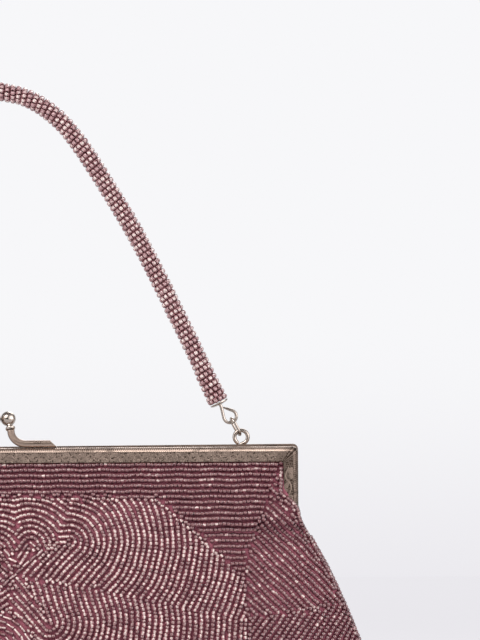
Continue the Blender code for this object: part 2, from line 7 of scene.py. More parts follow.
import bpy
import numpy as np
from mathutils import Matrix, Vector


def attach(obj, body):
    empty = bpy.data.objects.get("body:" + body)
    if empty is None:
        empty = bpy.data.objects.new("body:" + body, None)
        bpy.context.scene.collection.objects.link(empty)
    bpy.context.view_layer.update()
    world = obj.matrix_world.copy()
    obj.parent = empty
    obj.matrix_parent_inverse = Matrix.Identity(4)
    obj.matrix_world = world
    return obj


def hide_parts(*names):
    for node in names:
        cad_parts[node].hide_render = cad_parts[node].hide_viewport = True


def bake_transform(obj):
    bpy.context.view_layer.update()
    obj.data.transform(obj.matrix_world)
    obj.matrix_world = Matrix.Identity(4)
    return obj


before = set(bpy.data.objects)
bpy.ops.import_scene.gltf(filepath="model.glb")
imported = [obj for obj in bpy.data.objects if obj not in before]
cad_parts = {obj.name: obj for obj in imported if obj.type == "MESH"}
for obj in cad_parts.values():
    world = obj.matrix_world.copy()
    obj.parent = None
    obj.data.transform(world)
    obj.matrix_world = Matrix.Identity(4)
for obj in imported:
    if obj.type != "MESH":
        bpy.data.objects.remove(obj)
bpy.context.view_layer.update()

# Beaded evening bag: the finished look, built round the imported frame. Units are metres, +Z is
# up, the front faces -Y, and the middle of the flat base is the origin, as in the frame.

LOG = logging.getLogger("beaded_bag")
SEED = 20
QUARTER = math.pi / 2
SHARP_ANGLE = 50
BACKWARD = (0.0, 1.0, 0.0)
Pair = tuple[float, float]
Triple = tuple[float, float, float]
Pairs = tuple[Pair, ...]
Edge = tuple[int, int, int]
Points = np.ndarray
Mesh = tuple[np.ndarray, list[np.ndarray]]
Material = bpy.types.Material
Node = bpy.types.Node
Piece = bpy.types.Object
Socket = bpy.types.NodeSocket
Given = Mapping[str, bpy.types.NodeSocket]


class Body(Enum):
    """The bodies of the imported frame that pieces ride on."""

    POUCH = "back_half_and_pouch"
    FRONT_HALF = "front_half"
    LINK_RIGHT = "link_right"
    LINK_LEFT = "link_left"
    HANDLE = "handle"


class Side(Enum):
    """The two faces of the bag, with the sign of their Y direction."""

    FRONT = -1
    BACK = 1

    @property
    def word(self) -> str:
        """Return the side's word in names."""
        return self.name.lower()

    @property
    def body(self) -> Body:
        """Return the body of the frame's half on this side."""
        return Body.FRONT_HALF if self is Side.FRONT else Body.POUCH


class Slot(Enum):
    """The material slots of the record that the pieces use."""

    ANTIQUE = "antique_nickel"
    POLISHED = "polished_nickel"
    BEADS = "glass_beads"
    SATIN = "lining_satin"
    COTTON = "cotton_cord"


class BeadKind(Enum):
    """The beads sewn on the pouch."""

    SEED = "seed"
    BUGLE = "bugle"


class NodeBoard:
    """A node tree being wired, with short calls for the nodes that the finishes share."""

    def __init__(self, tree: bpy.types.NodeTree) -> None:
        """Take a material's or a group's node tree and empty it."""
        self.tree = tree
        tree.nodes.clear()

    def add(self, kind: str, inputs: Optional[dict] = None, **settings: object) -> Node:
        """Add a node, set its properties and feed its inputs.

        Args:
            kind: the node's type name.
            inputs: values or sockets by input name or number.
            **settings: the node's own properties.

        Returns:
            The new node.
        """
        node = self.tree.nodes.new(kind)
        for name, value in settings.items():
            setattr(node, name, value)
        self.give(node, inputs or {})
        return node

    def give(self, node: Node, inputs: dict) -> None:
        """Feed a node's inputs, by name or number: link sockets, and set plain values.

        Args:
            node: the node.
            inputs: values or sockets by input name or number.
        """
        for name, value in inputs.items():
            socket = node.inputs[name]
            if isinstance(value, Socket):
                self.tree.links.new(value, socket)
            elif isinstance(value, tuple) and len(value) < len(socket.default_value):
                socket.default_value = (*value, 1.0)
            else:
                socket.default_value = value

    def math(self, operation: str, first: object, second: object = 0.0,
             clamp: bool = False) -> Socket:
        """Return the output of a Math node."""
        return self.add("ShaderNodeMath", {0: first, 1: second}, operation=operation,
                        use_clamp=clamp).outputs[0]

    def times(self, first: object, second: object) -> Socket:
        """Return the product of two values."""
        return self.math("MULTIPLY", first, second)

    def plus(self, first: object, second: object, clamp: bool = False) -> Socket:
        """Return the sum of two values, held between 0 and 1 if it is clamped."""
        return self.math("ADD", first, second, clamp)

    def less(self, first: object, second: object) -> Socket:
        """Return the first value less the second."""
        return self.math("SUBTRACT", first, second)

    def most(self, first: object, second: object) -> Socket:
        """Return the larger of two values."""
        return self.math("MAXIMUM", first, second)

    def mix(self, factor: object, first: object, second: object) -> Socket:
        """Return the colour that lies a factor of the way from the first to the second."""
        return self.add("ShaderNodeMix", {0: factor, 6: first, 7: second},
                        data_type="RGBA").outputs[2]

    def noise(self, vector: object, scale: object, detail: float = 2.0,
              roughness: float = 0.5, distortion: float = 0.0) -> Socket:
        """Return the value of a Noise texture."""
        return self.add("ShaderNodeTexNoise", {
            "Vector": vector, "Scale": scale, "Detail": detail, "Roughness": roughness,
            "Distortion": distortion}).outputs[0]

    def span(self, value: object, low: float, high: float, out_low: float = 0.0,
             out_high: float = 1.0) -> Socket:
        """Return a value carried smoothly from one range to another, and held at its ends."""
        return self.add("ShaderNodeMapRange", {
            "Value": value, "From Min": low, "From Max": high, "To Min": out_low,
            "To Max": out_high}, interpolation_type="SMOOTHSTEP").outputs[0]

    def axes(self, vector: object) -> Sequence[Socket]:
        """Return the three parts of a vector."""
        return self.add("ShaderNodeSeparateXYZ", {0: vector}).outputs

    def mark(self, name: str) -> Socket:
        """Return the value that a mesh's mark has at the surface."""
        return self.add("ShaderNodeAttribute", attribute_name=name).outputs["Fac"]

    def place(self) -> Socket:
        """Return the surface's place in the object's own space, in metres."""
        return self.add("ShaderNodeTexCoord").outputs["Object"]


class Effect:
    """A shader node group that several finishes use."""

    KINDS = {"Place": "NodeSocketVector", **dict.fromkeys(
        ("Deep", "Middle", "Lining", "Pale", "Color"), "NodeSocketColor")}

    def __init__(self, name: str, inputs: Sequence[str], outputs: Sequence[str],
                 wire: Callable[[NodeBoard, Given], dict]) -> None:
        """Build the group once.

        Args:
            name: the group's name.
            inputs: the names of its inputs; those that KINDS doesn't list are numbers.
            outputs: the names of its outputs.
            wire: a function that wires the group and returns its outputs by name.
        """
        self.group = bpy.data.node_groups.new(name, "ShaderNodeTree")
        for direction, names in (("INPUT", inputs), ("OUTPUT", outputs)):
            for item in names:
                self.group.interface.new_socket(
                    item, in_out=direction, socket_type=self.KINDS.get(item, "NodeSocketFloat"))
        board = NodeBoard(self.group)
        given = board.add("NodeGroupInput").outputs
        board.give(board.add("NodeGroupOutput"), wire(board, given))

    def use(self, board: NodeBoard, **inputs: object) -> Given:
        """Place the group in a material's tree, feed its inputs and return its outputs."""
        return board.add("ShaderNodeGroup", inputs, node_tree=self.group).outputs


def wire_wear(board: NodeBoard, given: Given) -> dict:
    """Wire worn patches, grime and fine scratches.

    Args:
        board: its board.
        given: its inputs.

    Returns:
        Its outputs by name.
    """
    place, scale = given["Place"], given["Scale"]
    broad = board.noise(place, scale, 4.0, 0.6, 0.4)
    fine = board.noise(place, board.times(scale, 9.0), 3.0, 0.7)
    stretched = board.add("ShaderNodeMapping", {"Vector": place, "Scale": (0.15, 1.0, 1.0)})
    scratch = board.noise(stretched.outputs[0], board.times(scale, 40.0), 2.0, 0.6, 1.2)
    return {
        "Wear": board.span(broad, 0.42, 0.66),
        "Grime": board.span(board.plus(broad, board.times(fine, 0.35)), 0.72, 0.50),
        "Scratches": board.times(board.span(scratch, 0.60, 0.66), board.span(fine, 0.45, 0.7)),
    }


def wire_stipple(board: NodeBoard, given: Given) -> dict:
    """Wire small punched dots of uneven depth.

    Args:
        board: its board.
        given: its inputs.

    Returns:
        Its outputs by name.
    """
    place, scale = given["Place"], given["Scale"]
    dots = board.add("ShaderNodeTexVoronoi", {"Vector": place, "Scale": scale, "Randomness": 0.8},
                     feature="F1")
    pit = board.span(dots.outputs["Distance"], 0.12, 0.55)
    uneven = board.noise(place, board.times(scale, 0.45), 2.0)
    return {"Height": board.times(pit, board.plus(uneven, 0.45)), "Pits": board.less(1.0, pit)}


def wire_weave(board: NodeBoard, given: Given) -> dict:
    """Wire an over-and-under weave of warp and weft.

    Args:
        board: its board.
        given: its inputs.

    Returns:
        Its outputs by name.
    """
    place, scale = given["Place"], given["Scale"]
    parts = board.axes(place)
    turns = [board.times(parts[axis], scale) for axis in (0, 2)]
    warp, weft = [board.math("ABSOLUTE", board.math("SINE", turn)) for turn in turns]
    halves = [board.math("SINE", board.times(turn, 0.5)) for turn in turns]
    over = board.span(board.times(*halves), -0.2, 0.2)
    height = board.plus(weft, board.times(over, board.less(warp, weft)))
    slub = board.noise(place, board.times(scale, 0.3), 3.0, 0.7)
    return {"Height": height, "Shade": board.times(height, slub)}


def wire_bead_tone(board: NodeBoard, given: Given) -> dict:
    """Wire a lined bead: dark glass at its sides, and along its outward crest a painted highlight,
    partly standing for its silver lining.

    Args:
        board: its board.
        given: its inputs.

    Returns:
        Its outputs by name.
    """
    streak = board.noise(given["Place"], 1500.0, 3.0, 0.6, 0.8)
    flicker = board.times(board.less(streak, 0.5), given["Streak"])
    uneven = board.plus(given["Tone"], flicker)
    glass = board.mix(board.span(uneven, 0.1, 0.9), given["Deep"], given["Middle"])
    # The lining colours here paint the crest's highlight, which partly stands for the silver
    # lining.
    lining = board.mix(board.span(uneven, 0.25, 0.80), given["Lining"], given["Pale"])
    crest = board.span(board.plus(given["Crest"], board.times(flicker, 0.6)), 0.74, 0.99)
    return {"Color": board.mix(crest, glass, lining),
            "Roughness": board.span(streak, 0.3, 0.8, 0.09, 0.24)}


def wire_twist(board: NodeBoard, given: Given) -> dict:
    """Wire the slanting plies of a twisted cord.

    Args:
        board: its board.
        given: its inputs.

    Returns:
        Its outputs by name.
    """
    place, scale = given["Place"], given["Scale"]
    wave = board.add("ShaderNodeTexWave", {
        "Vector": place, "Scale": scale, "Distortion": 1.5, "Detail": 2.0, "Detail Scale": 2.0},
        bands_direction="DIAGONAL")
    fibre = board.noise(place, board.times(scale, 6.0), 4.0, 0.7)
    height = board.plus(wave.outputs[1], board.times(fibre, 0.5))
    return {"Height": height, "Shade": board.span(height, 0.2, 1.1)}


class Effects:
    """The shared effects, each built once."""

    def __init__(self) -> None:
        """Build every group."""
        placed, raised = ("Place", "Scale"), ("Height", "Shade")
        self.wear = Effect("edge_wear_and_grime", placed, ("Wear", "Grime", "Scratches"),
                           wire_wear)
        self.stipple = Effect("punched_stipple", placed, ("Height", "Pits"), wire_stipple)
        self.weave = Effect("plain_weave", placed, raised, wire_weave)
        self.bead_tone = Effect("bead_tone", (
            "Tone", "Crest", "Place", "Streak", "Deep", "Middle", "Lining", "Pale"),
            ("Color", "Roughness"), wire_bead_tone)
        self.twist = Effect("twisted_plies", placed, raised, wire_twist)


@dataclass(frozen=True)
class Finish:
    """What every finish has: a name, and a Principled surface with a bump."""

    name: str

    def start(self) -> tuple[Material, NodeBoard, Node]:
        """Make an empty material.

        Returns:
            The material, its board and its Principled node.
        """
        material = bpy.data.materials.new(self.name)
        material.use_nodes = True
        board = NodeBoard(material.node_tree)
        surface = board.add("ShaderNodeBsdfPrincipled")
        board.add("ShaderNodeOutputMaterial", {"Surface": surface.outputs[0]})
        return material, board, surface

    def bump(self, board: NodeBoard, height: Socket, distance: float) -> Socket:
        """Return a normal tilted by a height."""
        return board.add("ShaderNodeBump", {
            "Height": height, "Distance": distance, "Strength": 1.0}).outputs[0]


@dataclass(frozen=True)
class GlassBeads(Finish):
    """Transparent glass beads over pink cloth, each with its own tone, a painted highlight along
    its crest and painted shade at its rims.
    """

    deep: Triple
    middle: Triple
    # The lining and pale colours paint a highlight along each bead's outward crest, which partly
    # stands for its silver lining.
    lining: Triple
    pale: Triple
    # The rim colour and its share paint shade on the beads' edges as they turn from view.
    rim: Triple
    rim_share: float = 0.45
    streak: float = 0.9
    coat: float = 0.6
    coat_roughness: float = 0.04
    ior: float = 1.52

    def make(self, effects: Effects) -> Material:
        """Make the material.

        Args:
            effects: the shared effects.

        Returns:
            The material.
        """
        material, board, surface = self.start()
        bead = effects.bead_tone.use(
            board, Tone=board.mark("tone"), Crest=board.mark("crest"), Place=board.place(),
            Streak=self.streak, Deep=self.deep, Middle=self.middle,
            Lining=self.lining, Pale=self.pale)
        # Painted shade: the surface darkens towards the rim colour where it turns away from view.
        facing = board.add("ShaderNodeLayerWeight", {"Blend": 0.35}).outputs["Facing"]
        edge = board.times(board.span(facing, 0.25, 0.95), self.rim_share)
        board.give(surface, {
            "Base Color": board.mix(edge, bead["Color"], self.rim),
            "Roughness": bead["Roughness"], "Coat Weight": self.coat,
            "Coat Roughness": self.coat_roughness, "IOR": self.ior})
        return material


@dataclass(frozen=True)
class Nickel(Finish):
    """Plated metal with worn high places, dark grime and fine scratches. On the stippled frame the
    same dark colour also marks joint lines, paints shade into the reed grooves and darkens the
    legs.
    """

    colour: Triple
    grime: Triple
    roughness: float
    worn_roughness: float
    wear_scale: float = 90.0
    grime_share: float = 0.5
    stipple_scale: float = 0.0
    stipple_depth: float = 0.00012
    scratch_depth: float = 0.000008

    def make(self, effects: Effects) -> Material:
        """Make the material, stippled where it has a stipple's scale.

        Args:
            effects: the shared effects.

        Returns:
            The material.
        """
        material, board, surface = self.start()
        place = board.place()
        wear = effects.wear.use(board, Place=place, Scale=self.wear_scale)
        share = board.times(wear["Grime"], self.grime_share)
        height, depth = board.times(wear["Scratches"], -1.0), self.scratch_depth
        if self.stipple_scale:
            stipple = effects.stipple.use(board, Place=place, Scale=self.stipple_scale)
            raised = board.mark("raised")
            ground = board.times(board.mark("stippled"), board.less(1.0, raised))
            pits = board.times(board.plus(0.45, stipple["Pits"]), ground)
            share = board.most(share, board.times(pits, 0.95))
            share = board.times(share, board.less(1.0, board.times(raised, 0.9)))
            # The cut mark darkens joint lines, paints shade into the reed grooves and darkens the
            # legs.
            share = board.plus(share, board.mark("cut"), True)
            height = board.times(board.less(stipple["Height"], 0.4), ground)
            depth = self.stipple_depth
        worn = board.times(wear["Wear"], self.worn_roughness - self.roughness)
        board.give(surface, {
            "Base Color": board.mix(share, self.colour, self.grime),
            "Roughness": board.plus(board.plus(self.roughness, worn),
                                    board.times(share, 0.22), True),
            "Metallic": 1.0, "Normal": self.bump(board, height, depth)})
        return material


@dataclass(frozen=True)
class Woven(Finish):
    """Woven cloth: ground cloth under the beads, or satin lining."""

    colour: Triple
    shade: Triple
    weave_scale: float
    depth: float
    roughness: float
    sheen: float
    sheen_roughness: float = 0.4
    cloud_scale: float = 55.0
    cloud_low: float = 0.5

    def make(self, effects: Effects) -> Material:
        """Make the material.

        Args:
            effects: the shared effects.

        Returns:
            The material.
        """
        material, board, surface = self.start()
        place = board.place()
        weave = effects.weave.use(board, Place=place, Scale=self.weave_scale)
        cloud = board.span(board.noise(place, self.cloud_scale, 4.0, 0.6), 0.35, 0.65,
                           self.cloud_low, 1.0)
        tone = board.times(board.span(weave["Shade"], 0.7, 0.1), cloud)
        board.give(surface, {
            "Base Color": board.mix(tone, self.colour, self.shade),
            "Roughness": board.span(weave["Height"], 0.0, 1.0, self.roughness + 0.1,
                                    self.roughness),
            "Sheen Weight": self.sheen, "Sheen Roughness": self.sheen_roughness,
            "Normal": self.bump(board, weave["Height"], self.depth)})
        return material


@dataclass(frozen=True)
class TwistedCord(Finish):
    """Twisted paper or cotton cord."""

    colour: Triple
    shade: Triple
    ply_scale: float
    depth: float = 0.0001
    roughness: float = 0.85

    def make(self, effects: Effects) -> Material:
        """Make the material.

        Args:
            effects: the shared effects.

        Returns:
            The material.
        """
        material, board, surface = self.start()
        plies = effects.twist.use(board, Place=board.place(), Scale=self.ply_scale)
        board.give(surface, {
            "Base Color": board.mix(plies["Shade"], self.shade, self.colour),
            "Roughness": self.roughness, "Normal": self.bump(board, plies["Height"], self.depth)})
        return material


@dataclass(frozen=True)
class Paper(Finish):
    """A pale stage surface, which far from the bag runs into the white that the camera sees."""

    colour: Triple
    shade: Triple
    near: Triple
    far: Triple
    roughness: float = 0.8

    def make(self) -> Material:
        """Make the material.

        Returns:
            The material.
        """
        material, board, surface = self.start()
        cloud = board.span(board.noise(board.place(), 3.0, 2.0), 0.3, 0.7)
        board.give(surface, {"Base Color": board.mix(cloud, self.colour, self.shade),
                             "Roughness": self.roughness})
        away = board.add("ShaderNodeVectorMath", {0: board.place()}, operation="LENGTH").outputs[1]
        seen = board.add("ShaderNodeEmission", {
            "Color": board.mix(board.span(away, 0.9, 1.6), self.near, self.far)})
        camera = board.add("ShaderNodeLightPath").outputs["Is Camera Ray"]
        share = board.times(camera, board.span(away, 0.35, 1.0, 0.25, 0.85))
        mixed = board.add("ShaderNodeMixShader", {
            0: share, 1: surface.outputs[0], 2: seen.outputs[0]})
        board.give(board.tree.get_output_node("ALL"), {"Surface": mixed.outputs[0]})
        return material


def unit(vectors: Points) -> Points:
    """Return vectors scaled to length one."""
    return vectors / np.maximum(np.linalg.norm(vectors, axis=-1, keepdims=True), 1e-12)


def lengths(path: Points) -> Points:
    """Return how far along a path each of its points lies."""
    return np.concatenate([[0.0], np.cumsum(np.linalg.norm(np.diff(path, axis=0), axis=1))])


def read_along(path: Points, reach: Points, at: Points) -> Points:
    """Return a path's rows of values at given lengths, from the lengths of its points."""
    return np.stack([np.interp(at, reach, column) for column in path.T], axis=1)


def eased(table: Pairs, place: Points) -> Points:
    """Read a table smoothly.

    Args:
        table: (place, value) pairs, in the order of their places.
        place: where the table is read.

    Returns:
        The values there.
    """
    at, value = [np.array(part) for part in zip(*table)]
    wide = np.concatenate([[at[0]], at, [at[-1]]])
    tall = np.concatenate([[value[0]], value, [value[-1]]])
    slope = (tall[2:] - tall[:-2]) / (wide[2:] - wide[:-2])
    index = np.clip(np.searchsorted(at, place, side="left") - 1, 0, len(at) - 2)
    span = at[index + 1] - at[index]
    t = np.clip((place - at[index]) / span, 0, 1)
    rise = (3 - 2 * t) * t * t
    return (value[index] + (value[index + 1] - value[index]) * rise
            + span * slope[index] * t * (1 - t) ** 2
            - span * slope[index + 1] * t * t * (1 - t))


def mesh_object(name: str, points: Points, faces: Sequence[Points], material: Material,
                marks: Optional[dict[str, Points]] = None, sharp: float = 0.0) -> Piece:
    """Make a smooth mesh object in the row frame and link it to the scene.

    Args:
        name: the piece's name.
        points: an array of places.
        faces: arrays of faces, each of one corner count.
        material: the finish.
        marks: values at each point, by attribute name.
        sharp: the angle in degrees above which an edge is shaded sharp, if not zero.

    Returns:
        The new object.
    """
    mesh = bpy.data.meshes.new(name)
    mesh.vertices.add(len(points))
    mesh.vertices.foreach_set("co", np.asarray(points, np.float32).ravel())
    corners = np.concatenate([part.ravel() for part in faces])
    counts = np.concatenate([np.full(len(part), part.shape[1]) for part in faces])
    mesh.loops.add(len(corners))
    mesh.loops.foreach_set("vertex_index", corners.astype(np.int32))
    mesh.polygons.add(len(counts))
    starts = np.concatenate([[0], np.cumsum(counts)[:-1]])
    mesh.polygons.foreach_set("loop_start", starts.astype(np.int32))
    mesh.polygons.foreach_set("use_smooth", np.full(len(counts), True))
    mesh.update(calc_edges=True)
    for word, values in (marks or {}).items():
        attribute = mesh.attributes.new(word, "FLOAT", "POINT")
        attribute.data.foreach_set("value", np.asarray(values, np.float32).ravel())
    if sharp:
        mesh.set_sharp_from_angle(angle=math.radians(sharp))
    mesh.materials.append(material)
    made = bpy.data.objects.new(name, mesh)
    bpy.context.scene.collection.objects.link(made)
    return made


def grid_faces(rows: int, columns: int, round_rows: bool = False,
               round_columns: bool = False) -> Points:
    """Return the four-cornered faces of a grid of points stored row by row.

    Args:
        rows: how many rows of points there are.
        columns: how many points each row has.
        round_rows: whether the last row joins the first.
        round_columns: whether each row closes on itself.

    Returns:
        An array of faces.
    """
    upper = np.arange(rows if round_rows else rows - 1)
    left = np.arange(columns if round_columns else columns - 1)
    i, j = [part.ravel() for part in np.meshgrid(upper, left, indexing="ij")]
    below, right = (i + 1) % rows, (j + 1) % columns
    return np.stack([i * columns + j, i * columns + right, below * columns + right,
                     below * columns + j], axis=1)


def two_faced(name: str, outer: Points, inner: Points, side: Side, material: Material) -> Piece:
    """Make a layer of cloth with an outer and an inner face and closed edges.

    Args:
        name: the piece's name.
        outer: the points of its outer face, by row and column.
        inner: those of its inner face.
        side: the face of the bag, which says which way its faces turn.
        material: the cloth.

    Returns:
        The piece.
    """
    rows, columns = outer.shape[:2]
    count = rows * columns
    faces, index = grid_faces(rows, columns), np.arange(count).reshape(rows, columns)
    ring = np.concatenate([index[0], index[1:, -1], index[-1, -2::-1], index[-2:0:-1, 0]])
    onward = np.roll(ring, -1)
    edge = np.stack([ring, onward, onward + count, ring + count], axis=1)
    if side is Side.FRONT:
        edge = edge[:, ::-1]
    else:
        faces = faces[:, ::-1]
    points = np.concatenate([outer.reshape(-1, 3), inner.reshape(-1, 3)])
    return mesh_object(name, points, [faces, faces[:, ::-1] + count, edge], material)


def settle(piece: Piece, body: Body, slot: Slot, *nodes: str) -> Piece:
    """Ride a piece on its body and let it stand for its solids.

    Args:
        piece: the piece.
        body: the body that carries it.
        slot: its material slot; not used.
        *nodes: the solids that it stands for, if any.

    Returns:
        The same piece.
    """
    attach(piece, body.value)
    if nodes:
        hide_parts(*nodes)
    return piece


@dataclass(frozen=True)
class Shape:
    """A small mesh used many times: its points and its faces."""

    points: Points
    faces: Points

    def copies(self, places: Points, turns: Points) -> Mesh:
        """Place copies of the shape.

        Args:
            places: one place for each copy.
            turns: one 3 by 3 matrix for each copy, with its axes in its columns.

        Returns:
            All the points, and all the faces.
        """
        count = len(self.points)
        points = np.einsum("nij,kj->nki", turns, self.points) + places[:, None]
        offsets = (np.arange(len(places)) * count)[:, None, None]
        faces = (self.faces[None] + offsets).reshape(-1, self.faces.shape[1])
        return points.reshape(-1, 3), [faces]


def turned(profile: Sequence[Pair], sides: int, closed: bool = False) -> Shape:
    """Turn a profile round the X axis.

    Args:
        profile: (place along X, radius) pairs.
        sides: how many steps one turn has.
        closed: whether the profile's last point joins its first.

    Returns:
        The turned shape.
    """
    along, radius = [np.array(part) for part in zip(*profile)]
    angle = np.arange(sides) * math.tau / sides
    points = np.stack([
        np.repeat(along[:, None], sides, 1), radius[:, None] * np.cos(angle),
        radius[:, None] * np.sin(angle)], axis=2)
    return Shape(points.reshape(-1, 3), grid_faces(len(profile), sides, closed, True))


def frames_along(path: Points, closed: bool = False) -> Points:
    """Turn a matrix at each point of a path: its columns run along, across and backward.

    Args:
        path: the points of the path.
        closed: whether the last point joins the first.

    Returns:
        The matrices.
    """
    along = unit(np.roll(path, -1, 0) - np.roll(path, 1, 0) if closed
                 else np.gradient(path, axis=0))
    out = unit(np.array(BACKWARD) - along * along[:, 1:2])
    return np.stack([along, np.cross(out, along), out], axis=2)


def swept(path: Points, section: Points, closed: bool = False) -> Mesh:
    """Sweep a closed section along a path and cap its ends.

    Args:
        path: the points of the path.
        section: (across, backward) points, the same at each station or one set for each.
        closed: whether the path closes on itself.

    Returns:
        The points and the faces.
    """
    turns = frames_along(path, closed)[:, None]
    sections = np.broadcast_to(section, (len(path), *section.shape[-2:]))
    points = (path[:, None] + sections[..., 0:1] * turns[..., 1]
              + sections[..., 1:2] * turns[..., 2])
    rows, columns = points.shape[:2]
    faces = [grid_faces(rows, columns, closed, True)]
    if not closed:
        first = np.arange(columns)[None]
        faces += [first[:, ::-1], first + (rows - 1) * columns]
    return points.reshape(-1, 3), faces


def round_section(radius: float, sides: int) -> Points:
    """Return the points of a circle."""
    angle = np.arange(sides) * math.tau / sides
    return radius * np.stack([np.cos(angle), np.sin(angle)], axis=1)


def soft_box(width: float, height: float, corner: float, steps: int = 4) -> Points:
    """Draw a box with rounded corners, about its middle.

    Args:
        width: its width.
        height: its height.
        corner: its corners' radius.
        steps: how many steps a corner has.

    Returns:
        The points of its outline.
    """
    points = []
    for quarter, (x, y) in enumerate(((1, 1), (-1, 1), (-1, -1), (1, -1))):
        for step in range(steps + 1):
            angle = QUARTER * (quarter + step / steps)
            points.append((x * (width / 2 - corner) + corner * math.cos(angle),
                           y * (height / 2 - corner) + corner * math.sin(angle)))
    return np.array(points)


def joined(parts: Sequence[Mesh]) -> Mesh:
    """Join several meshes into one.

    Args:
        parts: the points and the faces of each.

    Returns:
        All the points and all the faces.
    """
    points, faces, count = [], [], 0
    for places, polygons in parts:
        points.append(places)
        faces += [part + count for part in polygons]
        count += len(places)
    return np.concatenate(points), faces


def axes_about(along: Points) -> Points:
    """Return a matrix whose first column is a direction in the XZ plane, and last is level."""
    across = unit(np.cross(along, BACKWARD))
    return np.stack([along, across, np.cross(along, across)], axis=1)


def spaced_along(path: Points, step: float, share: float = 0.3) -> tuple[Points, Points]:
    """Space points evenly along a path.

    Args:
        path: the points of the path.
        step: about how far apart the new points lie.
        share: how far each direction is read to either side, as a share of the step.

    Returns:
        The new points, and the path's direction at each.
    """
    reach = lengths(path)
    count = max(int(round(reach[-1] / step)), 1)
    marks = (np.arange(count) + 0.5) * reach[-1] / count
    before, after = [read_along(path, reach, marks + sign * share * step) for sign in (-1, 1)]
    return read_along(path, reach, marks), unit(after - before)


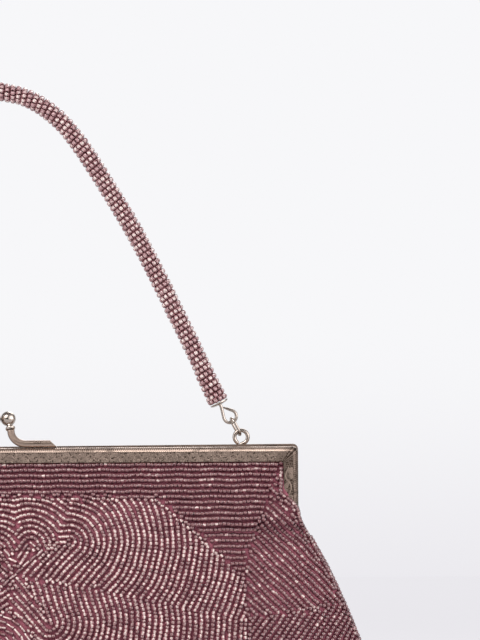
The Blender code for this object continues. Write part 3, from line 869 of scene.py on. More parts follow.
@dataclass
class PouchForm:
    """The form of the pouch's skin, as the solids have it."""

    body_height: float = 0.140
    body_half_width: float = 0.1305
    body_half_depth: float = 0.0226
    base_half_depth: float = 0.0112
    bottom_radius: float = 0.036
    panel_thickness: float = 0.0025
    lip_half_depth: float = 0.0044
    base_seam_draw: float = 0.0020
    width_power: float = 2.4
    crown_power: float = 0.62
    depth_rise_power: float = 0.8
    frame_half_width: float = 0.1025
    frame_half_depth: float = 0.0050
    bar_height: float = 0.0052
    hinge_drop: float = 0.0240
    cover_drop: float = 0.0163
    hip: float = 0.0015
    tuck: float = 0.0005
    tuck_drop: float = 0.0100
    tuck_fade: float = 0.0015
    ear_radius: float = 0.0022
    seam_drop_below_hinge: float = 0.0070
    seat_gap: float = 0.0003
    flare_shares: Pairs = (
        (0.000, 0.000), (0.060, 0.114), (0.155, 0.342), (0.273, 0.578), (0.368, 0.746),
        (0.483, 0.922), (0.586, 1.000), (0.700, 0.984), (1.000, 0.958))

    def __post_init__(self) -> None:
        """Work out the places that follow from the sizes."""
        self.leg_inner = self.frame_half_width - self.bar_height
        self.top_drop = self.bar_height + self.seat_gap
        self.seam_offset = self.seat_gap / 2
        self.cover_depth = self.frame_half_depth + self.seat_gap + self.panel_thickness
        self.cover_end_drop = self.hinge_drop + self.ear_radius + self.seat_gap
        self.seam_top_drop = self.hinge_drop + self.seam_drop_below_hinge
        self.round_drop = self.body_height - self.bottom_radius

    def half_width(self, drop: Points) -> Points:
        """Return the pouch's half width.

        Args:
            drop: distances below the top of the frame.

        Returns:
            The half widths there.
        """
        away = np.clip(np.abs(drop - self.tuck_drop) / self.tuck_fade, 0, 1)
        over = self.tuck * (0.5 + 0.5 * away)
        inner = self.leg_inner - self.seat_gap + over
        outer = self.frame_half_width + self.seat_gap + self.hip
        share = np.clip((drop - self.cover_drop) / (self.hinge_drop - self.cover_drop), 0, 1)
        upper = inner + (outer - inner) * share * (2 - share)
        below = (drop - self.hinge_drop) / (self.body_height - self.hinge_drop)
        flare = eased(self.flare_shares, np.clip(below, 0, 1))
        lower = outer + (self.body_half_width - outer) * flare
        sink = np.clip((drop - self.round_drop) / self.bottom_radius, 0, 1)
        lower = lower - self.bottom_radius * (1 - np.sqrt(1 - sink * sink))
        return np.where(drop < self.hinge_drop, upper, lower)

    def half_depth(self, drop: Points) -> Points:
        """Return the pouch's half depth on its middle line.

        Args:
            drop: distances below the top of the frame.

        Returns:
            The half depths there.
        """
        share = np.clip((drop - self.top_drop) / (self.round_drop - self.top_drop), 0, 1)
        rise = np.sin(QUARTER * share ** self.depth_rise_power)
        upper = self.lip_half_depth + (self.body_half_depth - self.lip_half_depth) * rise
        sink = np.clip((drop - self.round_drop) / self.bottom_radius, 0, 1)
        lower = self.base_half_depth + (self.body_half_depth - self.base_half_depth) * np.sqrt(
            1 - sink * sink)
        return np.where(drop <= self.round_drop, upper, lower)

    def edge_depth(self, drop: Points) -> Points:
        """Return how far the panel's side edge stands from the parting plane.

        Args:
            drop: distances below the top of the frame.

        Returns:
            The distances there.
        """
        high = np.clip((drop - self.top_drop) / (self.cover_drop - self.top_drop), 0, 1)
        low = np.clip((drop - self.cover_end_drop) / (self.seam_top_drop - self.cover_end_drop),
                      0, 1)
        return np.where(
            drop < self.cover_drop,
            self.lip_half_depth + (self.cover_depth - self.lip_half_depth) * high,
            self.cover_depth + (self.seam_offset - self.cover_depth) * low)

    def point(self, side: Side, across: Points, drop: Points, base_share: Points,
              inset: float) -> Points:
        """Return points of the skin.

        Args:
            side: the face of the bag.
            across: places from -1 to 1 between the side edges.
            drop: distances below the top of the frame.
            base_share: 1 on the walls, falling to 0 at the seam under the base.
            inset: how far inside the solids' outer skin the points lie.

        Returns:
            An array of places.
        """
        across, drop, base_share = np.broadcast_arrays(across, drop, base_share)
        edge = np.maximum(self.edge_depth(drop) - inset, self.seam_offset)
        depth = np.maximum(self.half_depth(drop) - inset, edge)
        crown = np.clip(1 - np.abs(across) ** self.width_power, 0, 1) ** self.crown_power
        outward = self.seam_offset + (
            edge + (depth - edge) * crown - self.seam_offset) * base_share
        half_width = self.half_width(drop)
        if inset > self.panel_thickness:
            share = (drop - self.cover_end_drop) / (self.seam_top_drop - self.cover_end_drop)
            inner = self.leg_inner - self.seat_gap
            wide = self.half_width(np.array(self.seam_top_drop))
            limit = inner + (wide - inner) * np.clip(share, 0, 1)
            half_width = np.where(share < 1, np.minimum(half_width, limit), half_width)
        shoulder = (drop - self.cover_drop) / (self.hinge_drop - self.cover_drop)
        drawn = np.clip(shoulder, 0, 1) if inset < self.panel_thickness else 1.0
        half_width = half_width - inset * drawn - self.base_seam_draw * (1 - base_share)
        height = self.body_height - drop
        height = height + inset * (1 - height / (self.body_height - self.top_drop))
        return np.stack([across * half_width, side.value * outward, height], axis=-1)

    def rows(self, start: float, count: int, base_rows: int) -> tuple[Points, Points]:
        """Space rows from a drop down to the seam under the base.

        Args:
            start: the first row's drop.
            count: how many steps the wall has.
            base_rows: how many steps the base has.

        Returns:
            The rows' drops, and their base shares.
        """
        reach = self.body_height - start
        drop = start + reach * np.sin(QUARTER * np.arange(count + 1) / count)
        shares = 1 - np.arange(1, base_rows + 1) / base_rows
        return (np.concatenate([drop, np.full(base_rows, self.body_height)]),
                np.concatenate([np.ones(count + 1), shares]))


class SkinMap:
    """The pouch's skin laid flat: places are (across, down) lengths along the skin."""

    ROWS, COLUMNS = 160, 120
    SAMPLES, BASE_SAMPLES = 240, 40
    SLOPE_STEP = 0.0008

    def __init__(self, form: PouchForm, side: Side, inset: float) -> None:
        """Sample the skin at even lengths down and across.

        Args:
            form: the pouch's form.
            side: the face of the bag.
            inset: how far inside the outer skin the map lies.
        """
        drop, share = form.rows(form.top_drop, self.SAMPLES, self.BASE_SAMPLES)
        reach = lengths(form.point(side, 0.0, drop, share, inset))
        self.length = float(reach[-1])
        self.down = np.linspace(0.0, self.length, self.ROWS + 1)
        drop, share = np.interp(self.down, reach, drop), np.interp(self.down, reach, share)
        fine = np.sin(QUARTER * np.linspace(-1, 1, 4 * self.COLUMNS + 1))
        points = form.point(side, fine[None], drop[:, None], share[:, None], inset)
        across = np.stack([lengths(row) for row in points])
        self.half = across[:, -1] / 2
        self.table = np.stack([
            read_along(row, far, np.linspace(0, far[-1], self.COLUMNS + 1))
            for row, far in zip(points, across)])
        self.outward = side.value

    def half_across(self, down: Points) -> Points:
        """Return the half width of the skin at distances down it."""
        return np.interp(down, self.down, self.half)

    def place(self, across: Points, down: Points) -> Points:
        """Return the places of points of the map.

        Args:
            across: places across.
            down: places down.

        Returns:
            The places in the row frame.
        """
        i = np.clip(down / self.length * self.ROWS, 0, self.ROWS - 1e-6)
        j = np.clip((across / self.half_across(down) + 1) / 2 * self.COLUMNS, 0,
                    self.COLUMNS - 1e-6)
        row, column = i.astype(int), j.astype(int)
        s, t = (i - row)[..., None], (j - column)[..., None]
        table = self.table
        upper = table[row, column] * (1 - t) + table[row, column + 1] * t
        lower = table[row + 1, column] * (1 - t) + table[row + 1, column + 1] * t
        return upper * (1 - s) + lower * s

    def turns(self, across: Points, down: Points, heading: Points) -> Points:
        """Turn a matrix for each point: its columns run along the heading, across and out.

        Args:
            across: places across.
            down: places down.
            heading: the direction of each point's thread on the map.

        Returns:
            The matrices.
        """
        step = self.SLOPE_STEP
        right = self.place(across + step, down) - self.place(across - step, down)
        low = self.place(across, down + step) - self.place(across, down - step)
        out = unit(np.cross(right, low))
        out = out * np.where(out[:, 1:2] * self.outward < 0, -1, 1)
        along = unit(right * heading[:, 0:1] + low * heading[:, 1:2])
        along = unit(along - out * (along * out).sum(1, keepdims=True))
        return np.stack([along, np.cross(out, along), out], axis=2)


def level_lines(height: Points, level: float, low: Points, step: float) -> list[Points]:
    """Trace the lines along which a field has one value.

    Args:
        height: the field's values on a square grid, by (down, across); NaN is outside it.
        level: the value.
        low: the (across, down) place of the grid's first point.
        step: the grid's spacing.

    Returns:
        The lines, each an array of (across, down) points.
    """
    above = height > level
    whole = np.isfinite(height)
    cell = whole[:-1, :-1] & whole[1:, :-1] & whole[:-1, 1:] & whole[1:, 1:]
    mixed = (above[:-1, :-1].astype(int) + above[1:, :-1] + above[:-1, 1:] + above[1:, 1:]) % 4 > 0
    links: dict[Edge, list[Edge]] = {}

    def crossed(edge: Edge) -> bool:
        """Say whether the level crosses one edge of the grid."""
        upright, i, j = edge
        return above[i, j] != above[i + upright, j + 1 - upright]

    for i, j in zip(*np.nonzero(cell & mixed)):
        ends = [edge for edge in ((0, i, j), (1, i, j + 1), (0, i + 1, j), (1, i, j))
                if crossed(edge)]
        for first, second in zip(ends[::2], ends[1::2]):
            links.setdefault(first, []).append(second)
            links.setdefault(second, []).append(first)

    def crossing(edge: Edge) -> Pair:
        """Return the place at which the level crosses one edge of the grid."""
        upright, i, j = edge
        share = (level - height[i, j]) / (height[i + upright, j + 1 - upright] - height[i, j])
        return (low[0] + step * (j + (1 - upright) * share), low[1] + step * (i + upright * share))

    lines, left = [], set(links)
    for start in sorted(links, key=lambda edge: (len(links[edge]), edge)):
        line, onward = [], [start] * (start in left)
        while onward:
            line.append(onward[0])
            left.discard(line[-1])
            onward = [edge for edge in links[line[-1]] if edge in left]
        if len(line) > 3 and start in links[line[-1]] and len(links[start]) == 2:
            line.append(start)
        if len(line) > 1:
            lines.append(np.array([crossing(edge) for edge in line]))
    return lines


@dataclass(frozen=True)
class Leaf:
    """One leaf of the medallion: the rows of beads run round its tip."""

    across: float
    down: float
    axis: float
    spread: float
    start: float
    low: float
    high: float
    mirrored: bool = True


@dataclass
class BeadRows:
    """Beads placed on the flattened skin."""

    places: Points
    headings: Points
    kinds: Points
    fields: Points


@dataclass
class BeadDesign:
    """How the rows of beads run on one face of the pouch; places are (across, down)."""

    pitch: float = 0.00197
    step: float = 0.00134
    bugle_step: float = 0.0033
    nearest: float = 0.00122
    fill_reach: float = 0.00128
    grid: float = 0.0005
    margin: float = 0.0007
    top_margin: float = 0.0002
    first_row: float = 0.0007
    bud: Pair = (-0.0022, 0.0662)
    bud_reach: float = 0.0142
    bare_zone: Triple = (0.092, 0.007, 0.020)
    bare_share: float = 0.07
    edge_chain: Triple = (0.0011, 0.002, 0.046)
    edge_points: int = 90
    bugle_spread: tuple[float, ...] = (-0.27, -0.135, 0.0, 0.135, 0.27)
    arch_down: float = 0.0128
    arch_from: float = 0.0530
    arch_rise: float = 0.9
    mitre_across: float = 0.0963
    mitre_lean: float = 0.32
    mitre_end: float = 0.0378
    border_across: float = 0.0845
    border_margin: float = 0.030
    side_tip: Pair = (0.110, 0.0519)
    side_upper: Pair = (0.69, -0.72)
    side_lower: Pair = (0.82, 0.57)
    medallion: Pair = (0.0052, 0.0395)
    vein: Pairs = ((0.0150, 0.0310), (0.0011, 0.0430))
    leaves: tuple[Leaf, ...] = (
        Leaf(0.0052, 0.0295, 85, 60, 0.0, 38, 142),
        Leaf(0.0191, 0.0281, 24, 66, 0.0072, -25, 100),
        Leaf(0.0121, 0.0561, -60, 79, 0.0064, -130, 20, False),
        Leaf(-0.0140, 0.0515, 221, 84, 0.0060, 155, 287, False),
        Leaf(-0.0074, 0.0662, 50, 110, -0.0023, -171, -39, False))

    def leaf_height(self, leaf: Leaf, mirror: int, across: Points, down: Points) -> Points:
        """Return how far points lie outside one leaf.

        Args:
            leaf: the leaf.
            mirror: 1 for the leaf, -1 for its twin.
            across: places across.
            down: places down.

        Returns:
            The distances, negative inside the leaf, and endless outside its sector.
        """
        right = (across - self.medallion[0]) * mirror
        up = self.medallion[1] - down
        x, y = right - leaf.across, up - (self.medallion[1] - leaf.down)
        axis = math.radians(leaf.axis)
        normals = [axis + math.radians(leaf.spread) * sign for sign in (-1, 1)]
        sides = [x * math.cos(turn) + y * math.sin(turn) for turn in normals]
        off = np.abs((np.arctan2(y, x) - axis + math.pi) % math.tau - math.pi)
        wedge = np.where(off < math.radians(leaf.spread), np.hypot(x, y),
                         np.maximum(sides[0], sides[1]))
        bearing = (np.degrees(np.arctan2(up, right)) - leaf.low) % 360
        return np.where(bearing < leaf.high - leaf.low, wedge + leaf.start, math.inf)

    def heights(self, skin: SkinMap) -> tuple[Points, dict[str, Points]]:
        """Work out the fields whose level lines the rows of beads follow.

        Args:
            skin: the map of the face.

        Returns:
            The low corner of the fields' grid, and the field of each part of the design.
        """
        wide = float(skin.half.max())
        low = np.array([-wide, self.top_margin])
        across, down = np.meshgrid(np.arange(low[0], wide, self.grid),
                                   np.arange(low[1], skin.length - self.margin, self.grid))
        off = np.abs(across)
        inside = off < skin.half_across(down) - self.margin
        mitre = self.mitre_across - self.mitre_lean * down
        border = np.where(down < self.mitre_end, mitre, np.minimum(
            self.border_across, skin.half_across(down) - self.border_margin))
        arch = self.arch_down + self.arch_rise * np.maximum(0, off - self.arch_from)
        beyond = off > border
        sides = [(off - self.side_tip[0]) * x + (down - self.side_tip[1]) * y
                 for x, y in (self.side_upper, self.side_lower)]
        leaves = [self.leaf_height(leaf, mirror, across, down)
                  for leaf in self.leaves for mirror in ((1, -1) if leaf.mirrored else (1,))]
        fields = {
            "medallion": (~beyond & (down >= arch), np.min(leaves, axis=0)),
            "side": (beyond, np.maximum(sides[0], sides[1])),
            "top": (~beyond & (down < arch), down - self.first_row + self.pitch / 2),
        }
        return low, {name: np.where(inside & part, height, np.nan)
                     for name, (part, height) in fields.items()}

    def lay(self, skin: SkinMap) -> BeadRows:
        """Place every bead of one face.

        Args:
            skin: the map of that face.

        Returns:
            The beads, with the part of the design that each belongs to.
        """
        low, heights = self.heights(skin)
        found: list[tuple] = []
        taken: dict[tuple[int, int], list[Pair]] = {}

        def free(x: float, y: float, reach: float) -> bool:
            """Say whether no bead lies within a reach of a place."""
            i, j = int(x // self.nearest), int(y // self.nearest)
            near = [place for a in range(i - 2, i + 3) for b in range(j - 2, j + 3)
                    for place in taken.get((a, b), ())]
            return all(math.hypot(x - a, y - b) >= reach for a, b in near)

        def take(x: float, y: float) -> None:
            """Mark a place as filled."""
            taken.setdefault((int(x // self.nearest), int(y // self.nearest)), []).append((x, y))

        def thread(line: Points, count: int, name: str) -> None:
            """Put beads along one line of thread, bugles where they fit.

            Args:
                line: the points of the line.
                count: the row's number, 0 for the rows that are worked in bugles throughout.
                name: the part of the design.
            """
            for bugle in (True, False) if name == "medallion" else (False,):
                step, spread = ((self.bugle_step, self.bugle_spread) if bugle
                                else (self.step, (0.0,)))
                for place, heading in zip(*spaced_along(line, step)):
                    spots = [place + heading * share * self.bugle_step for share in spread]
                    if bugle and count and math.dist(place, self.bud) >= self.bud_reach:
                        continue
                    if all(free(*spot, self.nearest) for spot in spots):
                        found.append((*place, *heading, bugle, name))
                        for spot in spots:
                            take(*spot)

        thread(np.array(self.vein), 0, "medallion")
        inset, start, end = self.edge_chain
        down = np.linspace(start, end, self.edge_points)
        for sign in (1, -1):
            edge = sign * (skin.half_across(down) - inset)
            thread(np.stack([edge, down], axis=1), 0, "side")
        for name, height in heights.items():
            lowest = math.floor(np.nanmin(height) / self.pitch)
            highest = math.ceil(np.nanmax(height) / self.pitch)
            for count in sorted(range(lowest, highest), key=abs):
                for line in level_lines(height, (count + 0.5) * self.pitch, low, self.grid):
                    thread(line, count, name)
            slope = np.gradient(np.nan_to_num(height), self.grid)
            for i, j in zip(*np.nonzero(np.isfinite(height))):
                x, y = low[0] + j * self.grid, low[1] + i * self.grid
                if free(x, y, self.fill_reach):
                    way = np.array([-slope[0][i, j], slope[1][i, j]])
                    found.append((x, y, *(way / (float(np.hypot(*way)) or 1.0)), False, name))
                    take(x, y)
        rng = np.random.default_rng(SEED)
        left, upper, lower = self.bare_zone
        found = [bead for bead in found if not (
            abs(bead[0]) > left and upper < bead[1] < lower and rng.random() < self.bare_share)]
        columns = list(zip(*found))
        return BeadRows(np.array(columns[:2]).T, np.array(columns[2:4]).T,
                        np.array(columns[4]), np.array(columns[5]))


@dataclass
class Beads:
    """The glass beads: their shapes and how unevenly they lie."""

    length: float = 0.00130
    radius: float = 0.00078
    hole_radius: float = 0.00028
    bugle_length: float = 0.0030
    bugle_radius: float = 0.00062
    shift: float = 0.00005
    tilt: float = 0.10
    size_share: float = 0.04
    size_limits: Pair = (0.9, 1.1)
    sides: int = 8
    seed_shares: Triple = (0.8, 0.74, 0.62)
    bugle_shares: Triple = (0.86, 0.7, 0.9)

    def shape(self, kind: BeadKind) -> Shape:
        """Turn one bead, its hole along X.

        Args:
            kind: the kind of bead.

        Returns:
            Its shape.
        """
        end, radius, shares = self.length / 2, self.radius, self.seed_shares
        if kind is BeadKind.BUGLE:
            end, radius, shares = self.bugle_length / 2, self.bugle_radius, self.bugle_shares
        sunk, mouth, shoulder = shares
        half = [(sunk * end, self.hole_radius), (end, mouth * radius), (shoulder * end, radius)]
        profile = [(-x, y) for x, y in half] + half[::-1]
        return turned(profile, self.sides, True)

    def uneven(self, rng: np.random.Generator, turns: Points) -> Points:
        """Tilt and scale each bead's axes a little.

        Args:
            rng: the seeded source of chance.
            turns: one matrix for each bead.

        Returns:
            The changed matrices.
        """
        count = len(turns)
        lean = rng.normal(0, self.tilt, (count, 3)).clip(-2 * self.tilt, 2 * self.tilt)
        skew = np.zeros((count, 3, 3))
        skew[:, 0, 1], skew[:, 0, 2], skew[:, 1, 2] = -lean[:, 2], lean[:, 1], -lean[:, 0]
        skew -= skew.transpose(0, 2, 1)
        sizes = 1 + rng.normal(0, self.size_share, (count, 1, 3))
        return turns @ (np.eye(3) + skew) * sizes.clip(*self.size_limits)

    def sewn(self, name: str, kind: BeadKind, places: Points, turns: Points, tones: Points,
             material: Material) -> Piece:
        """Make one piece of many beads.

        Args:
            name: the piece's name.
            kind: the kind of bead.
            places: the beads' middles.
            turns: the beads' axes.
            tones: a value for each bead, from deep 0 to pale 1.
            material: the glass.

        Returns:
            The piece.
        """
        shape = self.shape(kind)
        points, faces = shape.copies(places, turns)
        # The crest mark is highest along the side of each bead that faces out from the cloth, where
        # the glass paints its highlight.
        around = np.hypot(shape.points[:, 1], shape.points[:, 2])
        crest = np.clip(shape.points[:, 2] / around, 0, 1) * (around / around.max()) ** 0.3
        return mesh_object(name, points, faces, material, marks={
            "tone": np.repeat(tones, len(shape.points)), "crest": np.tile(crest, len(places))})


@dataclass
class Pouch:
    """The beaded pouch: ground cloth, beads, lining and slip pocket."""

    form: PouchForm = field(default_factory=PouchForm)
    design: BeadDesign = field(default_factory=BeadDesign)
    beads: Beads = field(default_factory=Beads)
    bead_inset: float = 0.00090
    cloth_outer: float = 0.0015
    cloth_inner: float = 0.0021
    cloth_start: float = 0.0036
    lining_outer: float = 0.0029
    lining_inner: float = 0.0035
    lining_start: float = 0.0036
    cloth_rows: int = 60
    cloth_base_rows: int = 12
    cloth_columns: int = 96
    bend_low: float = 0.084
    bend_high: float = 0.124
    piece_beads: int = 2000
    wave_depth: float = 0.00014
    wave_length: float = 0.013
    wave_stray: float = 2.3
    tone_spread: float = 0.22
    seam_tone: float = 0.20
    gore_across: float = 0.0955
    gore_radius: float = 0.0058
    gore_drop: float = 0.0020
    gore_half: float = 0.0003
    gore_sides: int = 40
    seam_base_points: int = 121
    pocket_half_width: float = 0.046
    pocket_drops: Pair = (0.046, 0.100)
    pocket_insets: Pair = (0.0040, 0.0046)
    pocket_rows: int = 48
    pocket_columns: int = 40
    hem_rows: int = 3
    hem: float = 0.0003
    # The middle tone of each part of the design: painted light, with the top and side rows painted
    # darker and the medallion's paler, as the light falls on them unevenly.
    tones: tuple[tuple[str, float], ...] = (("top", 0.13), ("side", 0.20), ("medallion", 0.52))

    def carry(self, piece: Piece, side: Side) -> None:
        """Ride a back piece on the pouch, or bake a front one's place into its points.

        Args:
            piece: the piece.
            side: the face of the bag that it is on.
        """
        if side is Side.BACK:
            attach(piece, Body.POUCH.value)
        else:
            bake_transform(piece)

    def layers(self, name: str, side: Side, start: float, insets: Pair,
               material: Material) -> tuple[Piece, float]:
        """Make one layer of cloth with an outer and an inner face and closed edges.

        Args:
            name: the piece's name.
            side: the face of the bag.
            start: the drop of its upper edge.
            insets: how far inside the skin its two faces lie.
            material: the cloth.

        Returns:
            The piece and its area.
        """
        drop, share = self.form.rows(start, self.cloth_rows, self.cloth_base_rows)
        turn = 2 * np.arange(self.cloth_columns + 1) / self.cloth_columns - 1
        outer, inner = [
            self.form.point(side, np.sin(QUARTER * turn)[None], drop[:, None],
                            share[:, None], inset) for inset in insets]
        spans = np.cross(outer[1:, 1:] - outer[:-1, :-1], outer[1:, :-1] - outer[:-1, 1:])
        area = float(np.linalg.norm(spans, axis=2).sum() / 2)
        return two_faced(name, outer, inner, side, material), area

    def cover(self, side: Side, glass: Material,
              cloth: Material) -> list[Piece]:
        """Make the ground cloth of one face and sew its beads on.

        Args:
            side: the face of the bag.
            glass: the beads' glass.
            cloth: the ground cloth.

        Returns:
            The cloth and the pieces of beads.
        """
        word = side.word
        ground, area = self.layers(f"{word}_ground_cloth", side, self.cloth_start,
                                   (self.cloth_outer, self.cloth_inner), cloth)
        skin = SkinMap(self.form, side, self.bead_inset)
        rows = self.design.lay(skin)
        rng = np.random.default_rng(SEED + side.value)
        count = len(rows.places)
        places = rows.places + rng.normal(0, self.beads.shift, (count, 2))
        places += self.wave_depth * np.sin(rows.places[:, ::-1] / self.wave_length * math.tau
                                           + np.sin(rows.places / self.wave_length
                                                    * self.wave_stray))
        across, down = places.T
        centres = skin.place(across, down)
        turns = self.beads.uneven(rng, skin.turns(across, down, rows.headings))
        tones = rng.normal(0, self.tone_spread, count)
        # Painted light: each part's beads are shifted paler or darker as a whole, over their own
        # random tones.
        for name, middle in self.tones:
            tones[rows.fields == name] += middle
        pieces = [ground]
        for kind in BeadKind:
            for name, _ in self.tones:
                chosen = np.nonzero((rows.kinds == (kind is BeadKind.BUGLE))
                                    & (rows.fields == name))[0]
                chosen = chosen[np.argsort(across[chosen], kind="stable")]
                parts = np.array_split(chosen, math.ceil(len(chosen) / self.piece_beads) or 1)
                for number, part in enumerate(parts, 1):
                    if len(part):
                        pieces.append(self.beads.sewn(
                            f"{word}_{name}_{kind.value}_beads_{number}", kind, centres[part],
                            turns[part], tones[part].clip(0, 1), glass))
        for piece in pieces:
            self.carry(piece, side)
        self.declare(side, "panel")
        return pieces

    def seam(self, glass: Material) -> Piece:
        """Sew one row of beads over the seam, down both sides and under the base.

        Args:
            glass: the beads' glass.

        Returns:
            The piece.
        """
        drop, share = self.form.rows(self.form.seam_top_drop, 2 * self.cloth_rows,
                                     2 * self.cloth_base_rows)
        edge = self.form.point(Side.FRONT, 1.0, drop, share, self.bead_inset)
        base = self.form.point(Side.FRONT, np.linspace(1, -1, self.seam_base_points)[1:-1],
                               self.form.body_height, 0.0, self.bead_inset)
        path = np.concatenate([edge, base, edge[::-1] * (-1, 1, 1)]) * (1, 0, 1)
        places, along = spaced_along(path, self.design.step)
        rng = np.random.default_rng(SEED)
        across = np.broadcast_to(BACKWARD, along.shape)
        turns = self.beads.uneven(rng, np.stack(
            [along, across, np.cross(along, across)], axis=2))
        tones = rng.normal(self.seam_tone, self.tone_spread, len(places)).clip(0, 1)
        piece = self.beads.sewn("side_seam_beads", BeadKind.SEED, places, turns, tones, glass)
        return settle(piece, Body.POUCH, Slot.BEADS)

    def gores(self, satin: Material) -> list[Piece]:
        """Close the ends inside the hinges with small round gores.

        Args:
            satin: the satin.

        Returns:
            The two pieces.
        """
        radius, half = self.gore_radius, self.gore_half
        shape = turned([(-half, half), (-half, radius - half), (0.0, radius),
                        (half, radius - half), (half, half)], self.gore_sides, True)
        height = self.form.body_height - self.form.hinge_drop - self.gore_drop
        pieces = []
        for word, hand in (("right", 1), ("left", -1)):
            points, faces = shape.copies(np.array([[hand * self.gore_across, 0.0, height]]),
                                         np.eye(3)[None])
            piece = settle(mesh_object(f"gore_satin_{word}", points, faces, satin), Body.POUCH,
                           Slot.SATIN)
            pieces.append(piece)
        return pieces

    def declare(self, side: Side, word: str) -> None:
        """Args:
            side: the face of the bag.
            word: the last word of its solids' names.
        """
        names = ([f"front_{word}_upper", f"front_{word}_lower"] if side is Side.FRONT
                 else [f"back_{word}"])
        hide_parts(*names)
        skin = SkinMap(self.form, Side.FRONT, self.cloth_outer)

    def line(self, side: Side, satin: Material) -> Piece:
        """Make the lining of one face.

        Args:
            side: the face of the bag.
            satin: the satin.

        Returns:
            The piece.
        """
        piece, area = self.layers(f"{side.word}_lining_satin", side, self.lining_start,
                                  (self.lining_outer, self.lining_inner), satin)
        self.carry(piece, side)
        self.declare(side, "lining")
        return piece

    def pocket(self, satin: Material) -> Piece:
        """Make the slip pocket sewn on the back lining, with a thicker hem along its mouth.

        Args:
            satin: the satin.

        Returns:
            The piece.
        """
        half, (top, bottom) = self.pocket_half_width, self.pocket_drops
        drop = np.linspace(top, bottom, self.pocket_rows + 1)[:, None]
        across = np.linspace(-1, 1, self.pocket_columns + 1) * half / self.form.body_half_width
        outer, inner = [self.form.point(Side.BACK, across, drop, 1.0, inset)
                        for inset in self.pocket_insets]
        inner[:self.hem_rows, :, 1] -= self.hem
        piece = settle(two_faced("slip_pocket_satin", outer, inner, Side.BACK, satin),
                       Body.POUCH, Slot.SATIN, "slip_pocket")
        return piece


